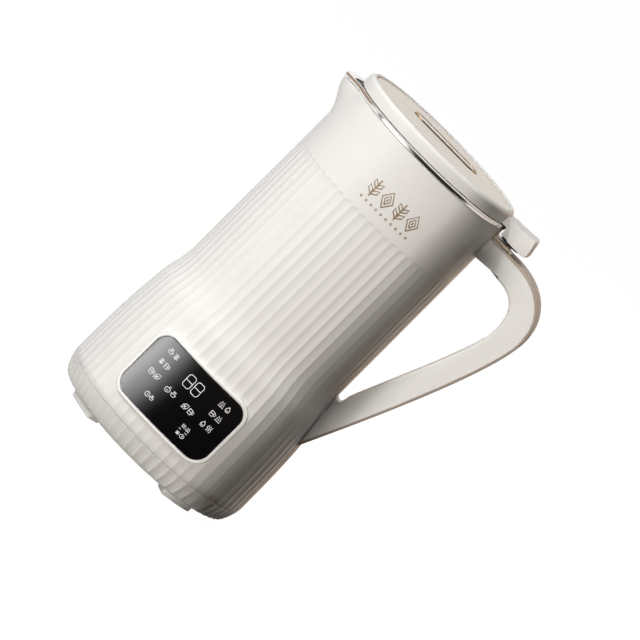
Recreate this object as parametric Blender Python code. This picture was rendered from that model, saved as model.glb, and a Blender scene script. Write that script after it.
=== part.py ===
"""Kettle-type soy milk maker: fluted jug with a steel cup, a lift-off lid, blades and their motor.

The jug's axis is upright. The spout points to -X, the handle to +X and the touch panel to -Y.
Run with: blender --background --python part.py
"""

from math import atan2, ceil, cos, hypot, pi, radians, sin, sqrt

import bmesh
import bpy
from mathutils import Matrix, Vector
from mathutils.geometry import interpolate_bezier

# Driving sizes in metres. Heights are measured from the surface that the feet stand on.
WAIST_RADIUS = 0.0560
FLARE_OUT = 0.0065
BASE_RADIUS = WAIST_RADIUS + FLARE_OUT
TOP_DRAW = 0.00065
TOP_RADIUS = WAIST_RADIUS - TOP_DRAW
SHELL_WALL = 0.0022
FOOT_HEIGHT = 0.0038
SEAM_HEIGHT = 0.0153
FLARE_TALL = 0.0837
WAIST_HEIGHT = SEAM_HEIGHT + FLARE_TALL
FLUTED_TALL = 0.0840
FLUTE_END_HEIGHT = WAIST_HEIGHT + FLUTED_TALL
SMOOTH_TALL = 0.0426
SHELL_TOP_HEIGHT = FLUTE_END_HEIGHT + SMOOTH_TALL
FLUTE_DEPTH = 0.0008
FLUTE_RUNOUT = 0.0060
CLEARANCE = 0.0003
OVERRUN = 0.0020
FLUTES = 60
COLUMNS_PER_FLUTE = 2
INSIDE_COLUMNS = 40
CUP_COLUMNS = 48
ROUND_STEPS = 24
SMALL_STEPS = 12

# The foot's flare between seam and waist: share of that height, share of the radius difference.
FLARE_SHARES = (
    (0.00, 1.00),
    (0.27, 0.96),
    (0.50, 0.84),
    (0.70, 0.62),
    (0.80, 0.47),
    (0.87, 0.26),
    (0.93, 0.11),
    (1.00, 0.00),
)

# Spout: a rounded beak pressed out of the wall on the -X side.
SPOUT_OUT = 0.0084
SPOUT_TALL = 0.0221
SPOUT_START_HEIGHT = SHELL_TOP_HEIGHT - SPOUT_TALL
SPOUT_HALF_ANGLE = radians(28)
SPOUT_RING_SHARES = (0.35, 0.65)

# What lies nearer the axis than this share of the crest's radius isn't fluted.
FLUTED_LEAST_SHARE = 0.91

# Steel cup inside the shell.
CUP_GAP = 0.0037
CUP_RADIUS = WAIST_RADIUS - SHELL_WALL - CUP_GAP
CUP_WALL = 0.0008
CUP_FLOOR_WALL = 0.0010
CUP_CORNER = 0.0018
RIM_OVERHANG = 0.00065
RIM_RADIUS = TOP_RADIUS + RIM_OVERHANG
RIM_THICKNESS = 0.0025

# Base cover and what is fastened to it.
FLOOR_WALL = 0.0024
SCREW_INSET = 0.0125
SCREW_CIRCLE = BASE_RADIUS - SCREW_INSET
SCREW_ANGLES_DEG = (25, 155, 205, 335)
PILLAR_RADIUS = 0.0052
PILLAR_RISE = 0.0047
PILLAR_TOP_HEIGHT = SEAM_HEIGHT + PILLAR_RISE
BOSS_RADIUS = 0.0038
RIB_THICKNESS = 0.0025
SCREW_RADIUS = 0.0015
SCREW_HEAD_RADIUS = 0.0032
SCREW_HEAD_THICKNESS = 0.0020
SCREW_RECESS = 0.0060
SCREW_REACH = 0.0130
FOOT_INSET = 0.0145
FOOT_CIRCLE = BASE_RADIUS - FOOT_INSET
FOOT_WIDTH = 0.0100
FOOT_SPREAD = radians(26)
FOOT_ANGLES_DEG = (45, 135, 225, 315)
FOOT_EDGE = 0.0008
VENTS = 8
VENT_INNER_RADIUS = 0.0120
VENT_LENGTH = 0.0150
VENT_WIDTH = 0.0050
# The base ring's outer corner, from its seam down: share of its height, share of its radius.
BASE_CORNER_SHARES = ((0.70, 0.985), (0.40, 0.966), (0.10, 0.936), (0.00, 0.880))

# Touch panel: a gently curved window that leans back with the wall behind it.
PANEL_LIFT = 0.0311
PANEL_HEIGHT = SEAM_HEIGHT + PANEL_LIFT
PANEL_WIDTH = 0.0630
PANEL_TALL = 0.0399
PANEL_CORNER = 0.0083
PANEL_CURVE = 0.0720
PANEL_PROUD = 0.0012
BEZEL_RIM = 0.0019
BEZEL_DEPTH = 0.0065
GLASS_THICKNESS = 0.0015
GLASS_SINK = 0.0003
LEDGE = 0.0022
BOARD_INSET = 0.0045
BOARD_WIDTH = PANEL_WIDTH - 2 * BOARD_INSET
BOARD_THICKNESS = 0.0016
DIGITS_WIDTH = 0.0220
DIGITS_TALL = 0.0130
DIGITS_DROP = 0.00125
DIGITS_RISE = PANEL_TALL / 2 - LEDGE - DIGITS_DROP - DIGITS_TALL / 2
# The curved stock for the panel's pieces is this much wider than they are.
STOCK_SPARE_SHARE = 1.15

# Lid with its thumb tab.
LID_SETBACK = 0.0022
LID_RADIUS = RIM_RADIUS - LID_SETBACK
LID_HEIGHT = 0.0077
LID_RIM_WIDTH = 0.0035
LID_EDGE = 0.0024
LID_INNER_EDGE = 0.0005
LID_SKIRT_WALL = 0.0022
LID_WEB = 0.0020
LID_RECESS = 0.0022
INSET_THICKNESS = 0.0014
INLAY_LENGTH = 0.0470
INLAY_DEPTH = 0.0150
INLAY_LINE = 0.0012
INLAY_THICKNESS = 0.0007
LINER_GAP = 0.0015
LINER_DEPTH = 0.0197
LINER_WALL = 0.0018
SEAL_HEIGHT = 0.0030
SEAL_GROOVE = 0.0010
SEAL_RISE = 0.0068
SEAL_DROP = LINER_DEPTH - SEAL_RISE
PROBE_RADIUS = 0.0020
PROBE_LENGTH = 0.0260
PROBE_FLANGE_RADIUS = 0.0045
PROBE_TIP_SHARE = 0.7
PROBE_OUT = 0.0220
TAB_WIDTH = 0.0240
TAB_EDGE = 0.0012
TAB_OVERHANG = 0.0058
TAB_TOP_DROP = 0.0008
TAB_DROP = 0.0048
TAB_ROOT_GAP = 0.0013
TAB_WEB_STEP = 0.0015
TAB_WEB_DROP = 0.0004
# The tab's side view from the lid's wall outwards: share of its length, share of its height.
TAB_START_SHARE = 0.04
TAB_TOP_SHARES = ((0.10, 0.795), (0.35, 0.78), (0.62, 0.86), (0.82, 0.98), (0.885, 1.00), (0.92, 0.95))
TAB_END_SHARES = ((1.00, 0.22), (0.985, 0.10), (0.93, 0.02), (0.37, 0.0))
# The narrower web between lid and tab ends inside the tab at this share of its length.
TAB_WEB_END_SHARE = 0.55

# Coupler between tab and handle, with the switch that senses the lid.
COUPLER_SPACE = 0.00195
SOCKET_LENGTH = 0.0134
COUPLER_OUT = TOP_RADIUS + COUPLER_SPACE + SOCKET_LENGTH / 2
PLUG_RADIUS = 0.0066
PLUG_THICKNESS = 0.0014
# The plug's rounded edge: share of its radius, share of its thickness.
PLUG_EDGE_SHARES = ((0.76, 0.0), (0.94, 0.4))
TAB_LENGTH = COUPLER_OUT + PLUG_RADIUS + TAB_OVERHANG - RIM_RADIUS
SWITCH_SIDE = 0.0060
SWITCH_HEIGHT = 0.0035
SWITCH_GAP = 0.0016
PLUNGER_RADIUS = 0.0015
PLUNGER_LENGTH = 0.0044
PIN_RADIUS = 0.0010
PIN_SPACE = 0.0007
PIN_OFFSET = SWITCH_SIDE / 2 + PIN_SPACE + PIN_RADIUS
PIN_LENGTH = 0.0060
SOCKET_PLATE = 0.0016
SOCKET_LEDGE = 0.0023
SOCKET_COLLAR_WALL = 0.0005
SOCKET_COLLAR_LENGTH = SOCKET_LENGTH - 2 * SOCKET_LEDGE
SOCKET_COLLAR_WIDTH = 2 * (PIN_OFFSET + PIN_RADIUS + CLEARANCE + SOCKET_COLLAR_WALL)
SOCKET_SIDE_LEDGE = 0.0020
SOCKET_WIDTH = SOCKET_COLLAR_WIDTH + 2 * SOCKET_SIDE_LEDGE
SOCKET_COLLAR_DEPTH = 0.0026
POCKET_DEPTH = PLUNGER_LENGTH - SOCKET_PLATE + SWITCH_GAP + SWITCH_HEIGHT
COUPLER_GAP = 0.0006

# Handle: its outer and inner edges are smooth curves in the plane of the spout.
HANDLE_WIDTH = 0.0220
HANDLE_EDGE = 0.0012
# From the shell's top up over the rim to the lid, and from the lid down through the coupler.
LID_REST = RIM_THICKNESS + 2 * CLEARANCE
COUPLER_STACK = TAB_DROP + CLEARANCE + PLUG_THICKNESS + COUPLER_GAP + SOCKET_PLATE + CLEARANCE
HANDLE_TOP_HEIGHT = SHELL_TOP_HEIGHT + LID_REST - COUPLER_STACK
SCREW_UNDER_POCKET = 0.0046
UPPER_SCREW_DROP = POCKET_DEPTH + SCREW_UNDER_POCKET
ROOT_UNDER_SCREW = 0.0044
HANDLE_ROOT_DEPTH = UPPER_SCREW_DROP + ROOT_UNDER_SCREW
HANDLE_OUT = 0.05115
HANDLE_REACH = TOP_RADIUS + HANDLE_OUT
HANDLE_REACH_DROP = 0.0297
HANDLE_REACH_HEIGHT = HANDLE_TOP_HEIGHT - HANDLE_REACH_DROP
HANDLE_THICKNESS = 0.0157
HANDLE_SHOULDER_OUT = 0.0080
HANDLE_SHOULDER = COUPLER_OUT + HANDLE_SHOULDER_OUT
HANDLE_FOOT_DROP = 0.0318
HANDLE_FOOT_HEIGHT = WAIST_HEIGHT - HANDLE_FOOT_DROP
HANDLE_INNER_FOOT_RISE = 0.0035
HANDLE_INNER_FOOT_HEIGHT = WAIST_HEIGHT + HANDLE_INNER_FOOT_RISE
HANDLE_INNER_DROP = 0.0045
HANDLE_INNER_FOOT_OUT = 0.0045
HANDLE_CROTCH = 0.0020
HANDLE_CROTCH_DEG = (-160, -125, -90, -55, -20)
HANDLE_OUTER_PULL_SHARES = (0.58, 0.572, 0.163, 0.40, 0.324)
HANDLE_INNER_PULL_SHARES = (0.714, 0.636, 0.163, 0.38, 0.337)
HANDLE_COVER_WALL = 0.0019
HANDLE_WALL = 0.0026
HANDLE_CURVE_STEPS = 9
HANDLE_CAVITY_START_SHARE = 0.15
HANDLE_CAVITY_END_SHARE = 0.62
LOWER_SCREW_DROP = 0.0100
LOWER_SCREW_HEIGHT = WAIST_HEIGHT - LOWER_SCREW_DROP
HANDLE_SCREW_REACH = 0.0090
HANDLE_SCREW_HEAD_THICKNESS = 0.0012
HANDLE_SCREW_HEAD_RADIUS = 0.0028
# The bores' corners stand half a step away from the seam lines of the turned wall.
BORE_TURN_SHARE = 0.5

# Shaft and its seat through the cup's floor.
SHAFT_RADIUS = 0.0030
BUSH_WALL = 0.0033
SEAT_BORE = SHAFT_RADIUS + BUSH_WALL
SEAT_WALL = 0.0034
SEAT_STEM_RADIUS = SEAT_BORE + SEAT_WALL
SEAT_STEM_LENGTH = 0.0133
SEAT_FLANGE_WIDTH = 0.0053
SEAT_FLANGE_RADIUS = SEAT_STEM_RADIUS + SEAT_FLANGE_WIDTH
SEAT_FLANGE_THICKNESS = 0.0020
SEAT_EDGE = 0.0008
SEAL_STACK = 0.0050
NUT_LENGTH = 0.0057
NUT_WIDTH = 0.0041
NUT_RADIUS = SEAT_STEM_RADIUS + NUT_WIDTH

# Motor, hung on dampers from a bracket that stays clear of the bosses.
BRACKET_GAP = 0.0072
BRACKET_RADIUS = SCREW_CIRCLE - BOSS_RADIUS - BRACKET_GAP
BRACKET_THICKNESS = 0.0024
DAMPER_RADIUS = 0.0045
DAMPER_LENGTH = 0.0040
DAMPER_EDGE = 0.0010
DAMPER_CIRCLE = BRACKET_RADIUS - DAMPER_RADIUS - DAMPER_EDGE
DAMPERS = 3
BEARING_RADIUS = 0.0080
BEARING_LENGTH = 0.0063
BEARING_CUP_WALL = 0.0025
MOTOR_RADIUS = 0.0272
MOTOR_WALL = 0.0024
MOTOR_SKIRT = 0.0045
STATOR_LENGTH = 0.0242
STATOR_WALL = 0.0092
STATOR_BORE = MOTOR_RADIUS - STATOR_WALL
AIR_GAP = 0.0006
END_CAP_LENGTH = 0.0127
FAN_RADIUS = 0.0240
FAN_HUB_RADIUS = 0.0070
FAN_HEIGHT = 0.0090
FAN_DISC = 0.0015
FAN_BLADES = 7
FAN_BLADE_WALL = 0.0012
FAN_SHAFT_END = 0.0005
FAN_LIFT = 0.0098
FAN_GAP = 0.0020

# Support ring, heating plate and what hangs under the cup.
SUPPORT_RADIUS = WAIST_RADIUS - SHELL_WALL - CLEARANCE
SUPPORT_LIP = 0.0035
SUPPORT_BORE = DAMPER_CIRCLE - SUPPORT_LIP
SUPPORT_THICKNESS = 0.0030
SUPPORT_RIM_WALL = 0.0025
PLATE_GAP = 0.0007
PLATE_RADIUS = CUP_RADIUS - SUPPORT_RIM_WALL - PLATE_GAP
PLATE_BORE_GAP = 0.0005
PLATE_BORE = NUT_RADIUS + PLATE_BORE_GAP
PLATE_THICKNESS = 0.0040
SENSOR_RADIUS = 0.0040
SENSOR_LENGTH = 0.0070
SENSOR_SPACE = 0.0037
SENSOR_CIRCLE = PLATE_BORE + SENSOR_SPACE + SENSOR_RADIUS
ELEMENT_RADIUS = 0.0034
ELEMENT_SPACE = 0.0036
ELEMENT_CIRCLE = SENSOR_CIRCLE + SENSOR_RADIUS + ELEMENT_SPACE + ELEMENT_RADIUS
ELEMENT_SWEEP = radians(310)
HEATER_TALL = 0.0167
FUSE_RADIUS = 0.0030
FUSE_LENGTH = 0.0110

# The stack's heights, from the floor up: fan, motor, support ring, cup.
FAN_LOW_HEIGHT = FOOT_HEIGHT + FLOOR_WALL + FAN_LIFT
SHAFT_BOTTOM_HEIGHT = FAN_LOW_HEIGHT - FAN_SHAFT_END
END_CAP_HEIGHT = FAN_LOW_HEIGHT + FAN_HEIGHT + FAN_GAP
STATOR_HEIGHT = END_CAP_HEIGHT + END_CAP_LENGTH + CLEARANCE
BRACKET_HEIGHT = STATOR_HEIGHT + STATOR_LENGTH + CLEARANCE + MOTOR_SKIRT
BRACKET_TOP_HEIGHT = BRACKET_HEIGHT + BRACKET_THICKNESS
DECK_HEIGHT = BRACKET_TOP_HEIGHT + DAMPER_LENGTH + 2 * CLEARANCE
BOSS_TOP_HEIGHT = DECK_HEIGHT - CLEARANCE
PLATE_TOP_HEIGHT = DECK_HEIGHT + SUPPORT_THICKNESS + HEATER_TALL
CUP_FLOOR_HEIGHT = PLATE_TOP_HEIGHT + CLEARANCE + CUP_FLOOR_WALL

# Blades and their nut on the shaft's upper end.
SPACER_RADIUS = 0.0060
SPACER_LENGTH = 0.0031
BLADE_REACH = 0.0240
BLADE_HUB_HALF_WIDTH = 0.0060
BLADE_THICKNESS = 0.0012
BLADE_BEND = 0.0070
BLADE_TIP_HALF_WIDTH = 0.0016
BLADE_TIP_DROP = 0.0028
BLADE_TIP_RISE = 0.0062
BLADE_TAPER_SHARE = 0.7
BLADE_RUN_GAP = 0.0006
BLADE_NUT_RADIUS = 0.0055
BLADE_NUT_LENGTH = 0.0060
BLADE_NUT_CAP = 0.0025

# Power board between two bosses, and its parts.
POWER_BOARD_RISE = 0.0040
POWER_BOARD_BOTTOM_HEIGHT = PILLAR_TOP_HEIGHT + POWER_BOARD_RISE
POWER_BOARD_DROP = 0.0077
POWER_BOARD_TALL = BOSS_TOP_HEIGHT - POWER_BOARD_DROP - POWER_BOARD_BOTTOM_HEIGHT
POWER_BOARD_THICKNESS = 0.0016
# How far each part reaches from the board towards the motor: share of the space between them.
CAPACITOR_DEPTH_SHARE = 0.46
RELAY_DEPTH_SHARE = 0.55
# Each part's lower and upper corner: share of the board's half width, share of its height.
CAPACITOR_SHARES = ((-0.80, 0.15), (-0.10, 0.50))
RELAY_SHARES = ((0.10, 0.35), (0.80, 0.85))

# Power inlet at the back.
INLET_WIDTH = 0.0280
INLET_TALL = 0.0210
INLET_RISE = 0.0062
INLET_HEIGHT = SEAM_HEIGHT + INLET_RISE + INLET_TALL / 2
INLET_BACK_WALL = 0.0040
INLET_RECESS = 0.0190
INLET_LENGTH = INLET_RECESS + INLET_BACK_WALL
INLET_WALL = 0.0020
INLET_CORNER = 0.0030
INLET_SINK = 0.0005
INLET_FLANGE = 0.0025
INLET_FLANGE_THICKNESS = 0.0025
INLET_FLANGE_BACK = 0.0045
CONTACT_LENGTH = 0.0150
CONTACT_THICKNESS = 0.0020
CONTACT_TALL = 0.0040
CONTACT_PITCH = 0.0070
CONTACT_RISE = 0.0020

# Colour, roughness and metallic value of each finish.
IVORY = ((0.84, 0.83, 0.80), 0.50, 0.0)
BEIGE = ((0.74, 0.69, 0.62), 0.55, 0.0)
STEEL = ((0.72, 0.70, 0.68), 0.18, 1.0)
GOLD = ((0.66, 0.50, 0.30), 0.30, 1.0)
BLACK_GLASS = ((0.01, 0.01, 0.012), 0.06, 0.0)
BLACK_RUBBER = ((0.02, 0.02, 0.02), 0.60, 0.0)
PALE_RUBBER = ((0.62, 0.61, 0.59), 0.55, 0.0)
COPPER_TONE = ((0.72, 0.55, 0.42), 0.28, 1.0)
BOARD_GREEN = ((0.03, 0.16, 0.08), 0.45, 0.0)
CAST = ((0.55, 0.55, 0.56), 0.40, 1.0)
DARK_STEEL = ((0.25, 0.25, 0.26), 0.45, 1.0)
BRASS = ((0.70, 0.52, 0.22), 0.30, 1.0)
GREY_PLASTIC = ((0.30, 0.30, 0.31), 0.50, 0.0)
WHITE_SILICONE = ((0.80, 0.80, 0.79), 0.50, 0.0)
CREASE_ANGLE = radians(30)


def clear_scene():
    """Remove whatever the file opened with."""
    for obj in list(bpy.data.objects):
        bpy.data.objects.remove(obj, do_unlink=True)


def empty(name, place=(0, 0, 0), turn=(0, 0, 0), parent=None):
    """An axis that pieces are parented to."""
    axis = bpy.data.objects.new(name, None)
    bpy.context.scene.collection.objects.link(axis)
    axis.location = place
    axis.rotation_euler = turn
    axis.parent = parent
    return axis


def add_object(name, bm, parent, place=(0, 0, 0)):
    """Turn a bmesh into a linked, smooth-shaded object under its parent."""
    bmesh.ops.recalc_face_normals(bm, faces=bm.faces)
    mesh = bpy.data.meshes.new(name)
    bm.to_mesh(mesh)
    bm.free()
    mesh.shade_smooth()
    mesh.set_sharp_from_angle(angle=CREASE_ANGLE)
    obj = bpy.data.objects.new(name, mesh)
    bpy.context.scene.collection.objects.link(obj)
    obj.location = place
    obj.parent = parent
    return obj


def piece(name, bm, finish, parent, place=(0, 0, 0)):
    """A named sub-part with a Principled material of its own."""
    colour, roughness, metallic = finish
    obj = add_object(name, bm, parent, place)
    material = bpy.data.materials.new(name)
    material.use_nodes = True
    shader = material.node_tree.nodes["Principled BSDF"]
    shader.inputs["Base Color"].default_value = (*colour, 1)
    shader.inputs["Roughness"].default_value = roughness
    shader.inputs["Metallic"].default_value = metallic
    obj.data.materials.append(material)
    return obj


def shape(target, bm, parent, operation="DIFFERENCE", place=(0, 0, 0)):
    """Cut, join or trim the target with a hidden tool body, and hand back that tool."""
    tool = add_object(f"{target.name}_tool", bm, parent, place)
    tool.hide_render = True
    tool.display_type = "WIRE"
    modifier = target.modifiers.new(operation.lower(), "BOOLEAN")
    modifier.operation = operation
    modifier.solver = "EXACT"
    modifier.object = tool
    return tool


def turned(outline, steps=ROUND_STEPS):
    """Spin a closed outline of (radius, height) points once round Z."""
    bm = bmesh.new()
    verts = [bm.verts.new((radius, 0, height)) for radius, height in outline]
    edges = []
    for start, end in zip(verts, verts[1:] + verts[:1]):
        if start.co.x or end.co.x:
            edges.append(bm.edges.new((start, end)))
    bmesh.ops.spin(
        bm,
        geom=verts + edges,
        cent=(0, 0, 0),
        axis=(0, 0, 1),
        angle=2 * pi,
        steps=steps,
        use_merge=True,
    )
    bmesh.ops.remove_doubles(bm, verts=bm.verts, dist=CLEARANCE / 100)
    return bm


def ring(inner, outer, low, high, steps=ROUND_STEPS):
    """A flat ring, or a disc where the inner radius is zero."""
    return turned([(inner, low), (outer, low), (outer, high), (inner, high)], steps)


def prism(outline, low, high, along="Z"):
    """Extrude a flat outline from low to high. Along Y it lies in XZ, along X in YZ."""
    places = {
        "Z": lambda u, v, w: (u, v, w),
        "Y": lambda u, v, w: (u, w, v),
        "X": lambda u, v, w: (w, u, v),
    }
    bm = bmesh.new()
    face = bm.faces.new([bm.verts.new(places[along](u, v, low)) for u, v in outline])
    grown = bmesh.ops.extrude_face_region(bm, geom=[face])["geom"]
    moved = [item for item in grown if isinstance(item, bmesh.types.BMVert)]
    bmesh.ops.translate(bm, verts=moved, vec=places[along](0, 0, high - low))
    return bm


def block(low, high):
    """A box between two corners."""
    outline = [(low[0], low[1]), (high[0], low[1]), (high[0], high[1]), (low[0], high[1])]
    return prism(outline, low[2], high[2])


def merged(parts):
    """Several bmeshes in one, each still a body of its own."""
    whole = bmesh.new()
    for part in parts:
        mesh = bpy.data.meshes.new("part")
        part.to_mesh(mesh)
        part.free()
        whole.from_mesh(mesh)
        bpy.data.meshes.remove(mesh)
    return whole


def moved_to(bm, place):
    """Shift a bmesh and hand it back."""
    bmesh.ops.translate(bm, verts=bm.verts, vec=place)
    return bm


def rounded_edges(bm, width, chosen):
    """Bevel the edges that the test picks, in two steps."""
    edges = [edge for edge in bm.edges if chosen(edge)]
    bmesh.ops.bevel(bm, geom=edges, offset=width, segments=2, profile=0.5, affect="EDGES")
    return bm


def rounded_rectangle(width, tall, corner, steps=5):
    """Outline of a rectangle with round corners, centred on the origin."""
    points = []
    for turn, (side, up) in enumerate(((1, 1), (-1, 1), (-1, -1), (1, -1))):
        for step in range(steps + 1):
            angle = (turn + step / steps) * pi / 2
            across = side * (width / 2 - corner) + corner * cos(angle)
            points.append((across, up * (tall / 2 - corner) + corner * sin(angle)))
    kept = []
    for point, after in zip(points, points[1:] + points[:1]):
        if hypot(after[0] - point[0], after[1] - point[1]) > CLEARANCE / 10:
            kept.append(point)
    return kept


def arc(centre, radius, start_deg, end_deg, steps=4):
    """Points on an arc, both ends included."""
    points = []
    for step in range(steps + 1):
        x, y = on_circle(radius, start_deg + (end_deg - start_deg) * step / steps)
        points.append((centre[0] + x, centre[1] + y))
    return points


def on_circle(radius, degrees):
    """A point on a circle about the jug's axis."""
    return radius * cos(radians(degrees)), radius * sin(radians(degrees))


def body_radius(height):
    """Radius of the flutes' crests at a height."""
    if height >= WAIST_HEIGHT:
        share = (height - WAIST_HEIGHT) / (SHELL_TOP_HEIGHT - WAIST_HEIGHT)
        return WAIST_RADIUS + (TOP_RADIUS - WAIST_RADIUS) * share
    place = max((height - SEAM_HEIGHT) / (WAIST_HEIGHT - SEAM_HEIGHT), 0)
    for (low, wide), (high, narrow) in zip(FLARE_SHARES, FLARE_SHARES[1:]):
        if place <= high:
            share = wide + (narrow - wide) * (place - low) / (high - low)
            return WAIST_RADIUS + (BASE_RADIUS - WAIST_RADIUS) * share
    return WAIST_RADIUS


def flare_heights():
    """Heights of the flare's rings, seam to waist."""
    return [SEAM_HEIGHT + (WAIST_HEIGHT - SEAM_HEIGHT) * share for share, _ in FLARE_SHARES]


def inside_heights():
    """Heights of the rings inside the shell: every other one of the flare's, then the spout's."""
    flare = flare_heights()
    return flare[::2] + flare[-1:] + spout_heights() + [SHELL_TOP_HEIGHT]


def spout_heights():
    """Heights of the rings that shape the spout, below the top edge."""
    rise = SHELL_TOP_HEIGHT - SPOUT_START_HEIGHT
    return [SPOUT_START_HEIGHT] + [SPOUT_START_HEIGHT + rise * share for share in SPOUT_RING_SHARES]


def spout_bulge(x, y, height):
    """How far the spout pushes a wall point outwards."""
    rise = (height - SPOUT_START_HEIGHT) / (SHELL_TOP_HEIGHT - SPOUT_START_HEIGHT)
    rise = min(max(rise, 0), 1)
    off = abs(atan2(y, -x)) / SPOUT_HALF_ANGLE
    if off >= 1:
        return 0
    return SPOUT_OUT * rise * rise * (3 - 2 * rise) * cos(off * pi / 2) ** 2


def press_spout(bm):
    """Push the wall of a turned body out where the spout is."""
    for vert in bm.verts:
        radius = sqrt(vert.co.x**2 + vert.co.y**2)
        if radius:
            growth = 1 + spout_bulge(*vert.co) / radius
            vert.co.x *= growth
            vert.co.y *= growth
    return bm


def press_flutes(bm):
    """Sink the columns between two crests, where the wall is near enough to the crests' radius."""
    pitch = 2 * pi / (FLUTES * COLUMNS_PER_FLUTE)
    for vert in bm.verts:
        crest = body_radius(max(vert.co.z, SEAM_HEIGHT))
        radius = sqrt(vert.co.x**2 + vert.co.y**2)
        column = round(atan2(vert.co.y, vert.co.x) / pitch) % COLUMNS_PER_FLUTE
        if column == 0 or radius < crest * FLUTED_LEAST_SHARE:
            continue
        fade = min(max((FLUTE_END_HEIGHT - vert.co.z) / FLUTE_RUNOUT, 0), 1)
        shrink = 1 - FLUTE_DEPTH * fade / radius
        vert.co.x *= shrink
        vert.co.y *= shrink
    return bm


def thin_columns(bm, above):
    """Above the flutes only the crest columns are needed: the rest are welded to them."""
    pitch = 2 * pi / FLUTES
    for vert in bm.verts:
        if vert.co.z > above:
            radius = sqrt(vert.co.x**2 + vert.co.y**2)
            angle = pitch * round(atan2(vert.co.y, vert.co.x) / pitch)
            vert.co.x = radius * cos(angle)
            vert.co.y = radius * sin(angle)
    bmesh.ops.remove_doubles(bm, verts=bm.verts, dist=CLEARANCE / 100)
    return bm


def make_outer_shell(stand, panel):
    """Fluted casing: hollow, with the panel's window, the inlet's window, bosses and screw holes."""
    heights = flare_heights() + [FLUTE_END_HEIGHT - FLUTE_RUNOUT, FLUTE_END_HEIGHT]
    heights += spout_heights() + [SHELL_TOP_HEIGHT]
    outline = [(body_radius(height), height) for height in heights]
    closed = [(0, SEAM_HEIGHT)] + outline + [(0, SHELL_TOP_HEIGHT)]
    solid = turned(closed, FLUTES * COLUMNS_PER_FLUTE)
    solid = thin_columns(press_flutes(solid), FLUTE_END_HEIGHT + CLEARANCE)
    shell = piece("outer_shell", press_spout(solid), IVORY, stand)

    inside = [(body_radius(height) - SHELL_WALL, height) for height in inside_heights()]
    inside = [(0, SEAM_HEIGHT - OVERRUN), (inside[0][0], SEAM_HEIGHT - OVERRUN)] + inside
    inside += [(inside[-1][0], SHELL_TOP_HEIGHT + OVERRUN), (0, SHELL_TOP_HEIGHT + OVERRUN)]
    shape(shell, press_spout(turned(inside, INSIDE_COLUMNS)), stand)

    posts, ribs = bosses()
    shape(shell, ribs, stand, "UNION")
    shape(shell, posts, stand, "UNION")
    shape(shell, boss_holes(), stand)
    wide = bezel_width() + 2 * CLEARANCE
    tall = bezel_tall() + 2 * CLEARANCE
    window = rounded_rectangle(wide, tall, bezel_corner())
    shape(shell, prism(window, -OVERRUN, BASE_RADIUS / 2, "Y"), panel)
    opening = rounded_rectangle(INLET_WIDTH + 2 * CLEARANCE, INLET_TALL + 2 * CLEARANCE, INLET_CORNER)
    hole = prism(opening, inlet_face() - INLET_LENGTH / 2, BASE_RADIUS + OVERRUN, "Y")
    shape(shell, moved_to(hole, (0, 0, INLET_HEIGHT)), stand)
    for height in handle_screw_heights():
        circle = disc(SCREW_RADIUS + CLEARANCE, SMALL_STEPS, BORE_TURN_SHARE)
        bore = prism(circle, CUP_RADIUS, BASE_RADIUS + OVERRUN, "X")
        shape(shell, moved_to(bore, (0, 0, height)), stand)


def disc(radius, steps=SMALL_STEPS, turned_share=0.0):
    """Outline of a circle, turned by a share of one step."""
    return [on_circle(radius, 360 * (step + turned_share) / steps) for step in range(steps)]


def bosses():
    """Four posts down the inside of the shell, each tied to the wall by a web."""
    parts = []
    low = PILLAR_TOP_HEIGHT + CLEARANCE
    heights = [low] + [height for height in flare_heights() if low < height < BOSS_TOP_HEIGHT]
    heights.append(BOSS_TOP_HEIGHT)
    wall = [(body_radius(height) - SHELL_WALL / 2, height) for height in heights]
    web = [(SCREW_CIRCLE, low)] + wall + [(SCREW_CIRCLE, BOSS_TOP_HEIGHT)]
    for degrees in SCREW_ANGLES_DEG:
        post = prism(disc(BOSS_RADIUS), low, BOSS_TOP_HEIGHT)
        parts.append(moved_to(post, (*on_circle(SCREW_CIRCLE, degrees), 0)))
    rib = prism(web, -RIB_THICKNESS / 2, RIB_THICKNESS / 2, "Y")
    return merged(parts), merged([turned_by(rib, degrees) for degrees in SCREW_ANGLES_DEG])


def turned_by(bm, degrees):
    """A copy of a bmesh, turned about the jug's axis."""
    copy = bm.copy()
    turn = Vector((cos(radians(degrees)), sin(radians(degrees))))
    for vert in copy.verts:
        x, y = vert.co.x, vert.co.y
        vert.co.x = x * turn.x - y * turn.y
        vert.co.y = x * turn.y + y * turn.x
    return copy


def boss_holes():
    """Pilot holes for the base screws, up into the bosses."""
    low = PILLAR_TOP_HEIGHT - OVERRUN
    high = PILLAR_TOP_HEIGHT + SCREW_REACH + 2 * CLEARANCE
    holes = []
    for degrees in SCREW_ANGLES_DEG:
        hole = prism(disc(SCREW_RADIUS + CLEARANCE), low, high)
        holes.append(moved_to(hole, (*on_circle(SCREW_CIRCLE, degrees), 0)))
    return merged(holes)


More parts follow.
